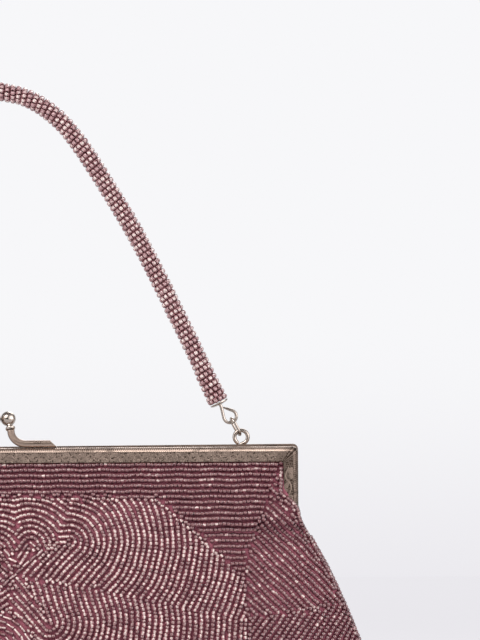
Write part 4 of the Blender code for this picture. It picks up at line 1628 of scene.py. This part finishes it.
@dataclass
class FrameHalf:
    """One half of the metal frame: a bent channel with a reeded rib and a stippled face."""

    side: Side
    half_width: float = 0.1025
    height: float = 0.140
    half_depth: float = 0.0050
    parting: float = 0.00015
    bar_height: float = 0.0052
    rib_radius: float = 0.0015
    rib_step: float = 0.0002
    top_wall: float = 0.0013
    side_wall: float = 0.0008
    corner_radius: float = 0.0018
    inner_corner_radius: float = 0.0002
    leg_end: float = 0.1188
    reed_pitch: float = 0.00071
    reed_depth: float = 0.00016
    reed_stations: int = 5
    edge_round: float = 0.00018
    face_columns: int = 26
    relief: float = 0.00012
    line_width: float = 0.00018
    leg_scroll: float = 0.0105
    bar_scroll: float = 0.0056
    bar_share: float = 0.55
    mitre_width: float = 0.00026
    mitre_depth: float = 0.00004
    # How much darker the legs are made than the bar.
    leg_tarnish: float = 0.22
    spring: float = 0.0008
    hinge_height: float = 0.116
    ear_radius: float = 0.0022
    ear_thickness: float = 0.0008
    ear_edge: float = 0.1024
    ear_gap: float = 0.0003
    ear_lift: float = 0.0036
    ear_turn: tuple[float, float, int] = (30, -210, 25)
    rib_columns: int = 9
    rib_reeding: Pair = (0.12, 0.92)
    scroll_swing: float = 0.28
    scroll_turns: Pairs = ((0.25, -1), (0.75, 1))
    scroll_radii: Triple = (0.42, 0.28, 0.13)
    scroll_margins: Pair = (0.05, 0.97)
    # How dark the reed grooves are painted, as shade in them.
    groove_tarnish: float = 0.7
    sharp: float = 38

    def profile(self) -> tuple[Points, Points, Points]:
        """Return the channel's section.

        Returns:
            (inset, distance) points, how much of the reeding each takes, and which are stippled.
        """
        face, inner = self.half_depth - self.rib_step, self.parting + self.side_wall
        turn = np.linspace(0, QUARTER, self.rib_columns)
        rib = np.stack([self.rib_radius * (1 - np.cos(turn)),
                        self.half_depth - self.rib_radius * (1 - np.sin(turn))], axis=1)
        start, end = self.rib_radius + self.rib_step, self.bar_height - self.edge_round
        columns = np.linspace(start, end, self.face_columns + 1)
        flat = np.stack([columns, np.full(len(columns), face)], axis=1)
        rest = np.array([
            (self.bar_height, face - self.edge_round), (self.bar_height, face - self.side_wall),
            (self.top_wall, face - self.side_wall), (self.top_wall, inner),
            (self.bar_height, inner), (self.bar_height, self.parting)])
        first = np.array([(0.0, self.parting)])
        points = np.concatenate([first, rib, flat, rest])
        reeded = np.zeros(len(points))
        reeded[1:1 + len(rib)] = np.sin(
            np.linspace(*self.rib_reeding, len(rib)) * math.pi) ** 0.5
        stippled = np.zeros(len(points))
        stippled[1 + len(rib):1 + len(rib) + len(flat)] = 1.0
        return points, reeded, stippled

    def stations(self) -> tuple[Points, Points, Points]:
        """Space the stations of one half, from the leg's end to the middle of the bar.

        Returns:
            Each station's stretch (0 leg, 1 corner, 2 bar), its share of it and its reach.
        """
        leg = self.height - self.corner_radius - self.leg_end
        corner = self.corner_radius * QUARTER
        bar = self.half_width - self.corner_radius
        step = self.reed_pitch / self.reed_stations
        whole = leg + corner + bar
        reach = np.linspace(0, whole, int(round(whole / step)) + 1)
        stretch = (reach > leg).astype(int) + (reach > leg + corner)
        share = np.choose(stretch, [reach / leg, (reach - leg) / corner,
                                    (reach - leg - corner) / bar])
        return stretch, share, reach

    def scrolled(self, inset: Points, reach: Points, start: float, end: float,
                 length: float) -> Points:
        """Return how far a scrolling stem and its curled leaves stand up on the face.

        Args:
            inset: the places' distances from the outer edge.
            reach: the places' lengths along the frame.
            start: where the scroll starts along the frame.
            end: where it ends.
            length: the length of one wave of the stem.

        Returns:
            0 on the ground to 1 on the lines.
        """
        face = self.bar_height - self.rib_radius - self.rib_step
        across = inset - self.rib_radius - self.rib_step
        middle, swing = face * 0.5, face * self.scroll_swing
        turn = (reach - start) / length * math.tau
        near = np.abs(across - middle - swing * np.sin(turn)) / (
            1 + (swing * math.tau / length * np.cos(turn)) ** 2) ** 0.5
        phase = (reach - start) % length
        for share, sign in self.scroll_turns:
            x, y = phase - share * length, across - middle - sign * swing * 0.55
            for radius in self.scroll_radii:
                ring = np.abs(np.hypot(x * 2.2 * face / length, y) - radius * face)
                curl = (sign * y + 0.25 * x) > -0.1 * face
                near = np.minimum(near, np.where(curl, ring, 1.0))
        low, high = self.scroll_margins
        shown = ((reach > start) & (reach < end) & (across > low * face)
                 & (across < high * face))
        return np.where(shown, np.clip(1.6 - near / self.line_width, 0, 1), 0)

    def shell(self) -> tuple[Points, list[Points], dict[str, Points]]:
        """Sweep the channel round from one leg's end to the other's.

        Returns:
            The points, the faces, and the marks at each point.
        """
        profile, reeded, stippled = self.profile()
        stretch, share, reach = self.stations()
        wave = 0.5 + 0.5 * np.cos(math.tau * reach / self.reed_pitch)
        grooves = reeded[None] * wave[:, None]
        cut = grooves * self.reed_depth
        inset = profile[None, :, 0] + cut * np.linspace(1, 0, len(profile))[None] ** 0.3
        leg = self.height - self.leg_end
        corner = self.corner_radius * (2 - QUARTER)
        raised = stippled[None] * np.maximum(
            self.scrolled(inset, reach[:, None], 0.0, leg - self.bar_height, self.leg_scroll),
            self.scrolled(inset, reach[:, None], leg - corner + self.bar_height, 1.0,
                          self.bar_scroll) * self.bar_share)
        off = np.abs(np.choose(stretch, [
            (share - 1) * leg, (share - 0.5) * self.corner_radius, share * self.half_width]))
        mitre = np.clip(1.5 - off / self.mitre_width, 0, 1)[:, None] * np.where(
            profile[None, :, 0] > self.rib_radius, stippled[None], 0.7 * (reeded[None] > 0))
        distance = (profile[None, :, 1] - cut + raised * self.relief
                    - mitre * self.mitre_depth)
        ease = np.clip(inset / self.bar_height, 0, 1)
        radius = self.corner_radius + (self.inner_corner_radius - self.corner_radius) * ease
        edge, top = self.half_width - inset, self.height - inset
        share, stretch = share[:, None], stretch[:, None]
        turn = QUARTER * (1 - share)
        x = np.choose(stretch, [
            edge, edge - radius + radius * np.sin(turn), (edge - radius) * (1 - share)])
        z = np.choose(stretch, [self.leg_end + (top - radius - self.leg_end) * share,
                                top - radius + radius * np.cos(turn), top])
        standing = np.clip((z - self.leg_end) / (self.height - self.leg_end), 0, 1)
        y = self.side.value * distance
        lift = self.spring * standing * (self.side is Side.BACK)
        right, left = [np.stack([
            hand * x, y, z + lift * (0.5 + 0.5 * hand * x / self.half_width)], axis=2)
            for hand in (1, -1)]
        points = np.concatenate([right, left[::-1][1:]])
        rows, columns = points.shape[:2]
        first = np.arange(columns)[None]
        faces = [grid_faces(rows, columns, False, True), first[:, ::-1],
                 first + (rows - 1) * columns]
        if self.side is Side.FRONT:
            faces = [part[:, ::-1] for part in faces]
        # Dark marks: joint lines, painted shade in the reed grooves, and the legs made darker than
        # the bar.
        dark = np.maximum(mitre, self.groove_tarnish * grooves ** 2
                          + self.leg_tarnish * (stretch == 0))
        twice = {name: np.concatenate([values, values[::-1][1:]]).ravel()
                 for name, values in (("raised", raised), ("cut", dark))}
        return points.reshape(-1, 3), faces, {"stippled": np.tile(stippled, rows), **twice}

    def ear(self, hand: int) -> Mesh:
        """Make the lapped ear under one leg, which the hinge rivet passes through.

        Args:
            hand: 1 on the right, -1 on the left.

        Returns:
            The points and the faces.
        """
        lapped = self.side is Side.BACK
        outer = self.ear_edge - (self.ear_thickness + self.ear_gap if lapped else 0.0)
        near, far = self.parting + self.side_wall, self.half_depth - self.side_wall
        turn = np.radians(np.linspace(*self.ear_turn))
        outline = np.concatenate([
            [(near, self.ear_lift), (far, self.ear_lift)],
            np.stack([self.ear_radius * np.cos(turn), self.ear_radius * np.sin(turn)], axis=1)])
        sheets = [np.stack([np.full(len(outline), hand * x), self.side.value * outline[:, 0],
                            self.hinge_height + outline[:, 1]], axis=1)
                  for x in (outer - self.ear_thickness, outer)]
        count = len(outline)
        flat = np.arange(count)[None]
        walls = grid_faces(2, count, False, True)
        return np.concatenate(sheets), [flat[:, ::-1], flat + count, walls]

    def build(self, metal: Material) -> Piece:
        """Make the half and let it stand for its solid.

        Args:
            metal: the antique nickel.

        Returns:
            The piece.
        """
        points, faces, marks = self.shell()
        shell_count = len(points)
        points, faces = joined([(points, faces), self.ear(1), self.ear(-1)])
        grown = {name: np.concatenate([values, np.zeros(len(points) - shell_count)])
                 for name, values in marks.items()}
        node = f"frame_{self.side.word}"
        piece = mesh_object(f"{node}_reeded", points, faces, metal, marks=grown, sharp=self.sharp)
        return settle(piece, self.side.body, Slot.ANTIQUE, node)


def stand_in(node: str, word: str, mesh: Mesh, metal: Material, body: Body) -> Piece:
    """Make a metal piece in place of a solid, whose name it has with a word added."""
    piece = mesh_object(f"{node}_{word}", *mesh, metal, sharp=SHARP_ANGLE)
    return settle(piece, body, Slot.POLISHED, node)


@dataclass
class Clasp:
    """The kiss clasp: two crossing arms, each with a collared ball."""

    top: float = 0.140
    gap: float = 0.0003
    knob_radius: float = 0.0025
    knob_fuller: float = 0.0001
    knob_height: float = 0.0100
    knob_crossing: float = 0.0009
    collar_radius: float = 0.0017
    collar_height: float = 0.0014
    neck_radius: float = 0.0010
    neck_height: float = 0.0007
    arm_thickness: float = 0.0019
    arm_fuller: float = 0.0006
    arm_width: float = 0.0026
    arm_length: float = 0.0157
    arm_rise: float = 0.0046
    arm_bend: float = 0.0052
    arm_depth: float = 0.0024
    arm_lean: float = 0.0012
    arm_chamfer: float = 0.0021
    bend_steps: int = 24
    flat_steps: int = 12
    ball_sides: int = 48
    ball_steps: int = 30
    collar_steps: int = 15
    collar_turn: float = 1.45
    edge_round: float = 0.0010

    def route(self, side: Side) -> Points:
        """Draw the middle line of one arm, from under its knob to its end.

        Args:
            side: the half that bears it; the front arm runs to the right.

        Returns:
            The points of the line.
        """
        hand = -side.value
        low = self.top + self.gap + self.arm_thickness / 2
        start = self.knob_radius + self.gap / 2 + self.arm_thickness / 2
        turn = np.linspace(0, QUARTER, self.bend_steps + 1)
        lean = self.arm_lean * (1 - np.sin(turn))
        bend = np.stack([hand * (start + self.arm_bend * (1 - np.cos(turn))),
                         side.value * (self.arm_depth - lean),
                         low + self.arm_rise * (1 - np.sin(turn))], axis=1)
        flat = np.repeat(bend[-1:], self.flat_steps, axis=0)
        flat[:, 0] += (hand * (self.arm_length - self.arm_bend)
                       * np.arange(1, self.flat_steps + 1) / self.flat_steps)
        return np.concatenate([bend, flat])

    def arm(self, side: Side, metal: Material) -> Piece:
        """Make one bent arm with softened edges and a chamfered end.

        Args:
            side: the half that bears it.
            metal: its nickel.

        Returns:
            The piece.
        """
        hand, path = -side.value, self.route(side)
        path[:, 2] += 0.2 * self.arm_fuller
        section = soft_box(self.arm_thickness + self.arm_fuller, self.arm_width, self.edge_round)
        points, faces = swept(path, section)
        grid = points.reshape(len(path), len(section), 3)
        rise = np.clip((grid[..., 2] - path[-1, 2]) / self.arm_thickness + 0.5, 0, 1)
        end = abs(path[-1, 0]) - self.arm_chamfer * rise
        grid[..., 0] = hand * np.minimum(hand * grid[..., 0], end)
        return stand_in(f"clasp_arm_{side.word}", "polished", (grid.reshape(-1, 3), faces),
                        metal, side.body)

    def knob(self, side: Side, metal: Material) -> Piece:
        """Make one ball on its neck and rounded collar.

        Args:
            side: the half that bears it.
            metal: its nickel.

        Returns:
            The piece.
        """
        hand, start = -side.value, self.route(side)[0]
        head = np.array([hand * (self.knob_radius + self.gap / 6),
                         -side.value * self.knob_crossing, self.top + self.knob_height])
        along = unit(head - start)
        reach = float(np.linalg.norm(head - start))
        base, high = self.gap, self.gap + self.collar_height
        round_ = self.collar_height / 2
        ring = [(base + round_ * (1 + math.sin(a)),
                 self.collar_radius - round_ * (1 - math.cos(a)))
                for a in np.linspace(-self.collar_turn, self.collar_turn, self.collar_steps)]
        radius = self.knob_radius + self.knob_fuller
        neck = math.asin(self.neck_radius / radius)
        head = [(reach - radius * math.cos(a), radius * math.sin(a))
                for a in np.linspace(neck, math.pi - 0.02, self.ball_steps)]
        profile = ([(base, 0.00001), (base, self.neck_radius)] + ring
                   + [(high, self.neck_radius), (high + self.neck_height / 3, self.neck_radius)]
                   + head)
        ball = turned(profile, self.ball_sides).copies(start[None], axes_about(along)[None])
        return stand_in(f"clasp_knob_{side.word}", "polished", ball, metal, side.body)

    def build(self, metal: Material, dark: Material) -> list[Piece]:
        """Make both arms of the dark metal and both knobs of the bright one."""
        return [piece for side in Side for piece in (self.arm(side, dark), self.knob(side, metal))]


@dataclass
class Chain:
    """The metal parts that tie one end of the handle to the frame."""

    hand: int
    top: float = 0.140
    gap: float = 0.0003
    offset: float = 0.0829
    depth: float = 0.0020
    eye_radius: float = 0.0023
    eye_wire: float = 0.0006
    eye_fuller: float = 0.0001
    eye_opening: float = 0.0009
    eye_closing: float = 0.00075
    eye_shank: float = 0.0012
    eye_rise: float = 0.0032
    lean: float = 28.0
    pitch: float = 0.0036
    link_wire: float = 0.00045
    link_half_width: float = 0.0021
    link_turn: float = 14.0
    slack: float = 0.0004
    loop_radius: float = 0.0022
    loop_wire: float = 0.00055
    loop_neck: Pair = (0.0760862, 0.153696)
    loop_opening: float = 0.0007
    pivots: Pairs = ((0.0818202, 0.1452308), (0.0801301, 0.1484094))
    cap_radius: float = 0.00325
    cap_height: float = 0.0012
    cap_edge: float = 0.0005
    cap_hole: float = 0.0009
    wire_sides: int = 14
    eye_points: int = 57
    link_points: int = 21
    cap_sides: int = 40
    cap_points: int = 12
    wire_end: Pair = (0.9, 0.45)

    def at(self, place: Pair) -> Points:
        """Return a place of the chain's plane in the row frame."""
        return np.array([self.hand * place[0], self.depth, place[1]])

    def eye(self, start: Points, neck: Points, centre: Points, radius: float,
            opening: float) -> Points:
        """Draw a wire that runs up a neck and bends round into an eye.

        Args:
            start: the wire's start.
            neck: where it leaves the straight.
            centre: the middle of the eye.
            radius: the eye's radius.
            opening: how far the wire's end stops short of the neck.

        Returns:
            The points of the wire's middle line.
        """
        towards = neck - centre
        length = float(np.linalg.norm(towards))
        heading = math.atan2(towards[2], towards[0])
        touch = math.acos(radius / length)
        turn = heading + touch + (math.tau - 2 * touch) * np.linspace(0, 1, self.eye_points)
        ring = centre + radius * np.stack([np.cos(turn), np.zeros_like(turn), np.sin(turn)], axis=1)
        route = [*np.linspace(start, neck, 4), *np.linspace(neck, ring[0], 8)[1:-1], *ring]
        back = neck - ring[-1]
        spare = float(np.linalg.norm(back)) - opening
        if spare > 0:
            route.extend(ring[-1] + unit(back) * spare * share for share in (0.5, 1.0))
        return np.array(route)

    def wire(self, node: str, path: Points, radius: float, metal: Material, body: Body,
             closed: bool = False) -> Piece:
        """Sweep a round wire, its open end rounded off, in place of a solid.

        Args:
            node: the solid's name.
            path: the wire's middle line.
            radius: the wire's radius.
            metal: its nickel.
            body: the body that carries it.
            closed: whether the wire is a ring.

        Returns:
            The piece.
        """
        section = np.repeat(round_section(radius, self.wire_sides)[None], len(path), axis=0)
        if not closed:
            section[-2:] *= np.array(self.wire_end)[:, None, None]
        return stand_in(node, "wire", swept(path, section, closed), metal, body)

    def build(self, metal: Material, way: Points, end: Points) -> list[Piece]:
        """Make the eyelet, the link, the end loop and the cap of one side.

        Args:
            metal: the bright nickel.
            way: the direction in which the handle's end points.
            end: the handle's end.

        Returns:
            The four pieces.
        """
        word = "right" if self.hand > 0 else "left"
        link_body = Body.LINK_RIGHT if self.hand > 0 else Body.LINK_LEFT
        lean = math.radians(self.lean)
        pull = np.array([-self.hand * math.sin(lean), 0.0, math.cos(lean)])
        low, high = [self.at(place) for place in self.pivots]
        eye = self.eye(self.at((self.offset, self.top - self.eye_shank)),
                       self.at((self.offset, self.top + self.eye_closing)),
                       self.at((self.offset, self.top + self.eye_rise)), self.eye_radius,
                       self.eye_opening)
        pieces = [self.wire(f"eyelet_{word}", eye, self.eye_wire + self.eye_fuller, metal,
                            Body.POUCH)]
        lower = self.eye_wire + self.link_wire + self.slack
        upper = self.loop_wire + self.link_wire + self.slack
        straight = (self.pitch + lower + upper) / 2 - self.link_half_width
        middle = low + pull * (self.pitch + upper - lower) / 2
        turn = math.radians(self.link_turn)
        broad = (np.cross(pull, BACKWARD) * math.sin(turn)
                 + np.array(BACKWARD) * math.cos(turn))
        bend = np.linspace(0, math.pi, self.link_points)[:, None]
        halves = [middle + pull * (sign * (straight + self.link_half_width * np.sin(bend)))
                  + broad * (sign * self.link_half_width * np.cos(bend)) for sign in (1, -1)]
        pieces.append(self.wire(f"link_{word}", np.concatenate(halves), self.link_wire, metal,
                                link_body, True))
        centre = high + pull * self.loop_radius
        loop = self.eye(end + way * self.gap, self.at(self.loop_neck), centre, self.loop_radius,
                        self.loop_opening)
        pieces.append(self.wire(f"end_loop_{word}", loop, self.loop_wire, metal, Body.HANDLE))
        turn = np.linspace(0, QUARTER, self.cap_points)
        dome = self.cap_height - self.cap_edge
        profile = ([(self.gap, self.cap_hole), (self.gap, self.cap_radius)]
                   + [(self.cap_edge + dome * math.sin(a), self.cap_hole
                       + (self.cap_radius - self.cap_hole) * math.cos(a)) for a in turn])
        cap = turned(profile, self.cap_sides, True).copies(end[None], axes_about(way)[None])
        pieces.append(stand_in(f"end_cap_{word}", "domed", cap, metal, Body.HANDLE))
        return pieces


@dataclass
class BeadedHandle:
    """The crocheted rope of beads, worked round a stuffing cord."""

    half_span: float = 0.0751473
    end_height: float = 0.1554619
    depth: float = 0.0020
    rise: float = 0.1077
    spacing_power: float = 1.25
    rope_radius: float = 0.0033
    end_swell: float = 0.0004
    swell_length: float = 0.016
    bead_length: float = 0.00125
    bead_radius: float = 0.00095
    round_count: float = 11.5
    row_pitch: float = 0.00200
    tube_radius: float = 0.0018
    tube_sides: int = 16
    bead_sides: int = 10
    end_share: float = 0.45
    tone_middle: float = 0.48
    tone_spread: float = 0.24
    shares: Pairs = (
        (0.000, 1.000), (0.139, 0.974), (0.279, 0.905), (0.383, 0.814), (0.500, 0.685),
        (0.609, 0.557), (0.706, 0.429), (0.796, 0.300), (0.890, 0.165), (0.972, 0.040),
        (1.000, 0.000))

    def route(self, count: int = 400) -> Points:
        """Draw the handle's middle line, from the left end to the right.

        Args:
            count: how many steps it has.

        Returns:
            The points of the line.
        """
        turn = np.linspace(-1, 1, count + 1)
        along = np.sin(QUARTER * np.abs(turn)) ** self.spacing_power
        height = eased(self.shares, along)
        return np.stack([np.sign(turn) * along * self.half_span, np.full(len(turn), self.depth),
                         self.end_height + height * self.rise], axis=1)

    def build(self, glass: Material, thread: Material,
              beads: Beads) -> list[Piece]:
        """Make the rope of beads and the crocheted thread tube under it.

        Args:
            glass: the beads' glass.
            thread: the crochet thread.
            beads: the beads' evenness.

        Returns:
            The two pieces.
        """
        path = self.route()
        reach = lengths(path)
        rows = reach[-1] / self.row_pitch - 1
        count = int(rows * self.round_count)
        half_turn = int(self.round_count / 2)
        number = np.arange(-half_turn, count + half_turn)
        turn = number * math.tau / self.round_count
        share = np.clip(number / (count - 1), 0, 1)
        spare = self.end_share * self.row_pitch
        at = spare + share * (reach[-1] - 2 * spare)
        swell = np.clip(1 - np.minimum(at, reach[-1] - at) / self.swell_length, 0, 1)
        radius = self.rope_radius + self.end_swell * swell - self.bead_radius
        axes = frames_along(path)
        middle = read_along(path, reach, at)
        basis = read_along(axes.reshape(-1, 9), reach, at).reshape(-1, 3, 3)
        along, across, out = [unit(basis[:, :, column]) for column in range(3)]
        cosine, sine = np.cos(turn)[:, None], np.sin(turn)[:, None]
        outward = across * cosine + out * sine
        round_ = -across * sine + out * cosine
        lean = math.atan2(self.row_pitch, math.tau * self.rope_radius)
        thread_way = round_ * math.cos(lean) + along * math.sin(lean)
        places = middle + outward * radius[:, None]
        turns = np.stack([thread_way, np.cross(outward, thread_way), outward], axis=2)
        rng = np.random.default_rng(SEED)
        turns = beads.uneven(rng, turns)
        tones = rng.normal(self.tone_middle, self.tone_spread, len(number)).clip(0, 1)
        rope = Beads(length=self.bead_length, radius=self.bead_radius, sides=self.bead_sides)
        sleeve = rope.sewn("handle_bead_rope", BeadKind.SEED, places, turns, tones, glass)
        tube = mesh_object("handle_thread_tube",
                           *swept(path, round_section(self.tube_radius, self.tube_sides)), thread)
        return [settle(sleeve, Body.HANDLE, Slot.BEADS, "handle_sleeve"),
                settle(tube, Body.HANDLE, Slot.COTTON)]


@dataclass
class Studio:
    """A pale floor, a white surround, soft lamps and the camera."""

    floor_half: float = 1.6
    floor_corner: float = 0.2
    camera_across: float = 0.08276
    camera_height: float = 0.1836
    camera_distance: float = 1.5
    view_height: float = 0.2207
    sensor: float = 36.0
    roll: float = 0.36
    room: Triple = (0.10, 0.095, 0.09)
    target: Triple = (0.03, 0.0, 0.13)
    lamps: tuple[tuple[str, Triple, float, float], ...] = (
        ("key", (-0.55, -0.75, 0.95), 0.70, 11.5),
        ("fill", (0.95, -0.55, 0.45), 0.80, 4.0),
        ("rim", (0.25, 0.75, 0.85), 0.60, 5.0))

    def floor(self, paper: Material) -> Piece:
        """Lay a pale floor with gently rounded corners under the bag.

        Args:
            paper: its paper.

        Returns:
            The floor.
        """
        outline = soft_box(2 * self.floor_half, 2 * self.floor_half, self.floor_corner, 8)
        points = np.concatenate([outline, np.zeros((len(outline), 1))], axis=1)
        floor = mesh_object("studio_floor", points, [np.arange(len(points))[None]], paper)
        return floor

    def surround(self) -> None:
        """Make the world: white to the camera, and softly uneven in the light it gives."""
        world = bpy.data.worlds.new("studio_world")
        bpy.context.scene.world = world
        world.use_nodes = True
        board = NodeBoard(world.node_tree)
        x, y, z = board.axes(board.add("ShaderNodeTexCoord").outputs["Generated"])
        high = board.span(z, 0.45, 0.95)
        glow = board.mix(board.span(y, -0.55, 0.30), self.room, (0.85, 0.85, 0.87))
        glow = board.mix(high, glow, (0.70, 0.70, 0.72))
        shown = board.mix(board.span(z, -0.085, 0.0), (0.81, 0.795, 0.835), (0.93, 0.93, 0.948))
        window = board.most(board.span(x, 0.12, 0.28), board.span(x, -0.60, -0.76))
        window = board.times(window, board.span(z, -0.35, -0.15))
        window = board.times(window, board.span(y, 0.30, 0.05))
        mirrored = board.mix(board.span(y, 0.35, 0.9), self.room, shown)
        mirrored = board.mix(window, mirrored, (2.0, 2.0, 2.05))
        mirrored = board.mix(high, mirrored, (0.30, 0.30, 0.31))
        path = board.add("ShaderNodeLightPath").outputs
        seen = board.most(path["Is Camera Ray"], path["Is Transmission Ray"])
        back = board.add("ShaderNodeBackground", {
            "Color": board.mix(seen, mirrored, shown), "Strength": 1.0})
        dim = board.add("ShaderNodeBackground", {"Color": glow, "Strength": 0.55})
        mixed = board.add("ShaderNodeMixShader", {
            0: board.most(seen, path["Is Glossy Ray"]), 1: dim.outputs[0], 2: back.outputs[0]})
        board.add("ShaderNodeOutputWorld", {"Surface": mixed.outputs[0]})

    def light(self) -> None:
        """Hang the soft lamps, each turned to the bag."""
        target = Vector(self.target)
        for name, place, size, power in self.lamps:
            data = bpy.data.lights.new(f"{name}_softbox", "AREA")
            data.shape, data.size, data.energy = "SQUARE", size, power
            lamp = bpy.data.objects.new(f"{name}_softbox", data)
            lamp.location = place
            lamp.rotation_euler = (target - Vector(place)).to_track_quat("-Z", "Y").to_euler()
            bpy.context.scene.collection.objects.link(lamp)

    def camera(self) -> None:
        """Stand the camera level in front, as the photograph has it."""
        data = bpy.data.cameras.new("studio_camera")
        data.sensor_width, data.sensor_fit = self.sensor, "AUTO"
        data.lens = self.sensor * self.camera_distance / self.view_height
        data.clip_end = 20.0
        made = bpy.data.objects.new("studio_camera", data)
        made.location = (self.camera_across, -self.camera_distance, self.camera_height)
        made.rotation_euler = (QUARTER, math.radians(self.roll), 0.0)
        bpy.context.scene.collection.objects.link(made)
        bpy.context.scene.camera = made


def finishes(effects: Effects) -> dict[str, Material]:
    """Make every material once.

    Args:
        effects: the shared effects.

    Returns:
        The materials by a short name.
    """
    antique = dict(colour=(0.40, 0.30, 0.245), grime=(0.045, 0.030, 0.023))
    kinds = {
        "antique": Nickel("antique_nickel_stippled", **antique, roughness=0.34,
                          worn_roughness=0.24, stipple_scale=1400.0),
        "rivet": Nickel("antique_nickel_plain", **antique, roughness=0.36, worn_roughness=0.25),
        "bright": Nickel("bright_nickel", (0.44, 0.375, 0.33), (0.08, 0.056, 0.044), 0.17, 0.26,
                         wear_scale=140.0, grime_share=0.35),
        "glass": GlassBeads("rose_glass_beads", (0.14, 0.037, 0.048), (0.37, 0.115, 0.137),
                            (0.30, 0.135, 0.135), (0.92, 0.77, 0.70), (0.120, 0.045, 0.058)),
        "rope": GlassBeads("mauve_glass_beads", (0.28, 0.115, 0.125), (0.46, 0.225, 0.235),
                           (0.54, 0.31, 0.315), (0.92, 0.78, 0.72), (0.14, 0.085, 0.097),
                           rim_share=0.7),
        "cloth": Woven("pink_ground_cloth", (0.53, 0.160, 0.220), (0.235, 0.058, 0.082), 9000.0,
                       0.00006, 0.75, 0.15, cloud_scale=2300.0, cloud_low=0.0),
        "satin": Woven("rose_satin", (0.50, 0.30, 0.29), (0.30, 0.15, 0.15), 14000.0, 0.00002,
                       0.32, 0.5),
        "thread": TwistedCord("dark_rose_thread", (0.62, 0.29, 0.30), (0.34, 0.14, 0.15), 1400.0),
        "cotton": TwistedCord("cotton_stuffing_cord", (0.72, 0.66, 0.56), (0.42, 0.36, 0.29),
                              900.0),
        "paper": TwistedCord("twisted_paper_cord", (0.60, 0.48, 0.34), (0.34, 0.25, 0.16),
                             1100.0),
    }
    return {name: finish.make(effects) for name, finish in kinds.items()}


def main() -> None:
    """Build the studio and the bag, piece by piece."""
    logging.basicConfig(level=logging.INFO, format="%(name)s: %(message)s")
    bpy.context.scene.view_settings.view_transform = "Standard"
    effects = Effects()
    made = finishes(effects)
    studio = Studio()
    studio.camera()
    studio.surround()
    studio.light()
    studio.floor(Paper("studio_paper", (0.86, 0.86, 0.87), (0.83, 0.83, 0.85),
                       (0.84, 0.825, 0.865), (0.90, 0.885, 0.925)).make())
    pieces: list[Piece] = []
    pouch = Pouch()
    for side in Side:
        pieces += pouch.cover(side, made["glass"], made["cloth"])
        pieces.append(pouch.line(side, made["satin"]))
    pieces.append(pouch.pocket(made["satin"]))
    pieces.append(pouch.seam(made["glass"]))
    pieces += pouch.gores(made["satin"])
    pieces += [FrameHalf(side).build(made["antique"]) for side in Side]
    pieces += Clasp().build(made["bright"], made["rivet"])
    handle = BeadedHandle()
    pieces += handle.build(made["rope"], made["thread"], pouch.beads)
    route = handle.route()
    for hand in (1, -1):
        ends = route[::-1] if hand > 0 else route
        pieces += Chain(hand).build(made["bright"], unit(ends[0] - ends[1]), ends[0])
    for name, finish in (("hinge_rivet_right", "rivet"), ("hinge_rivet_left", "rivet"),
                         ("channel_cord_front", "paper"), ("channel_cord_back", "paper"),
                         ("handle_core", "cotton")):
        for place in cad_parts[name].material_slots:
            place.material = made[finish]
    for piece in pieces:
        LOG.info("%s: %d faces", piece.name, len(piece.data.polygons))


if __name__ == "__main__":
    main()
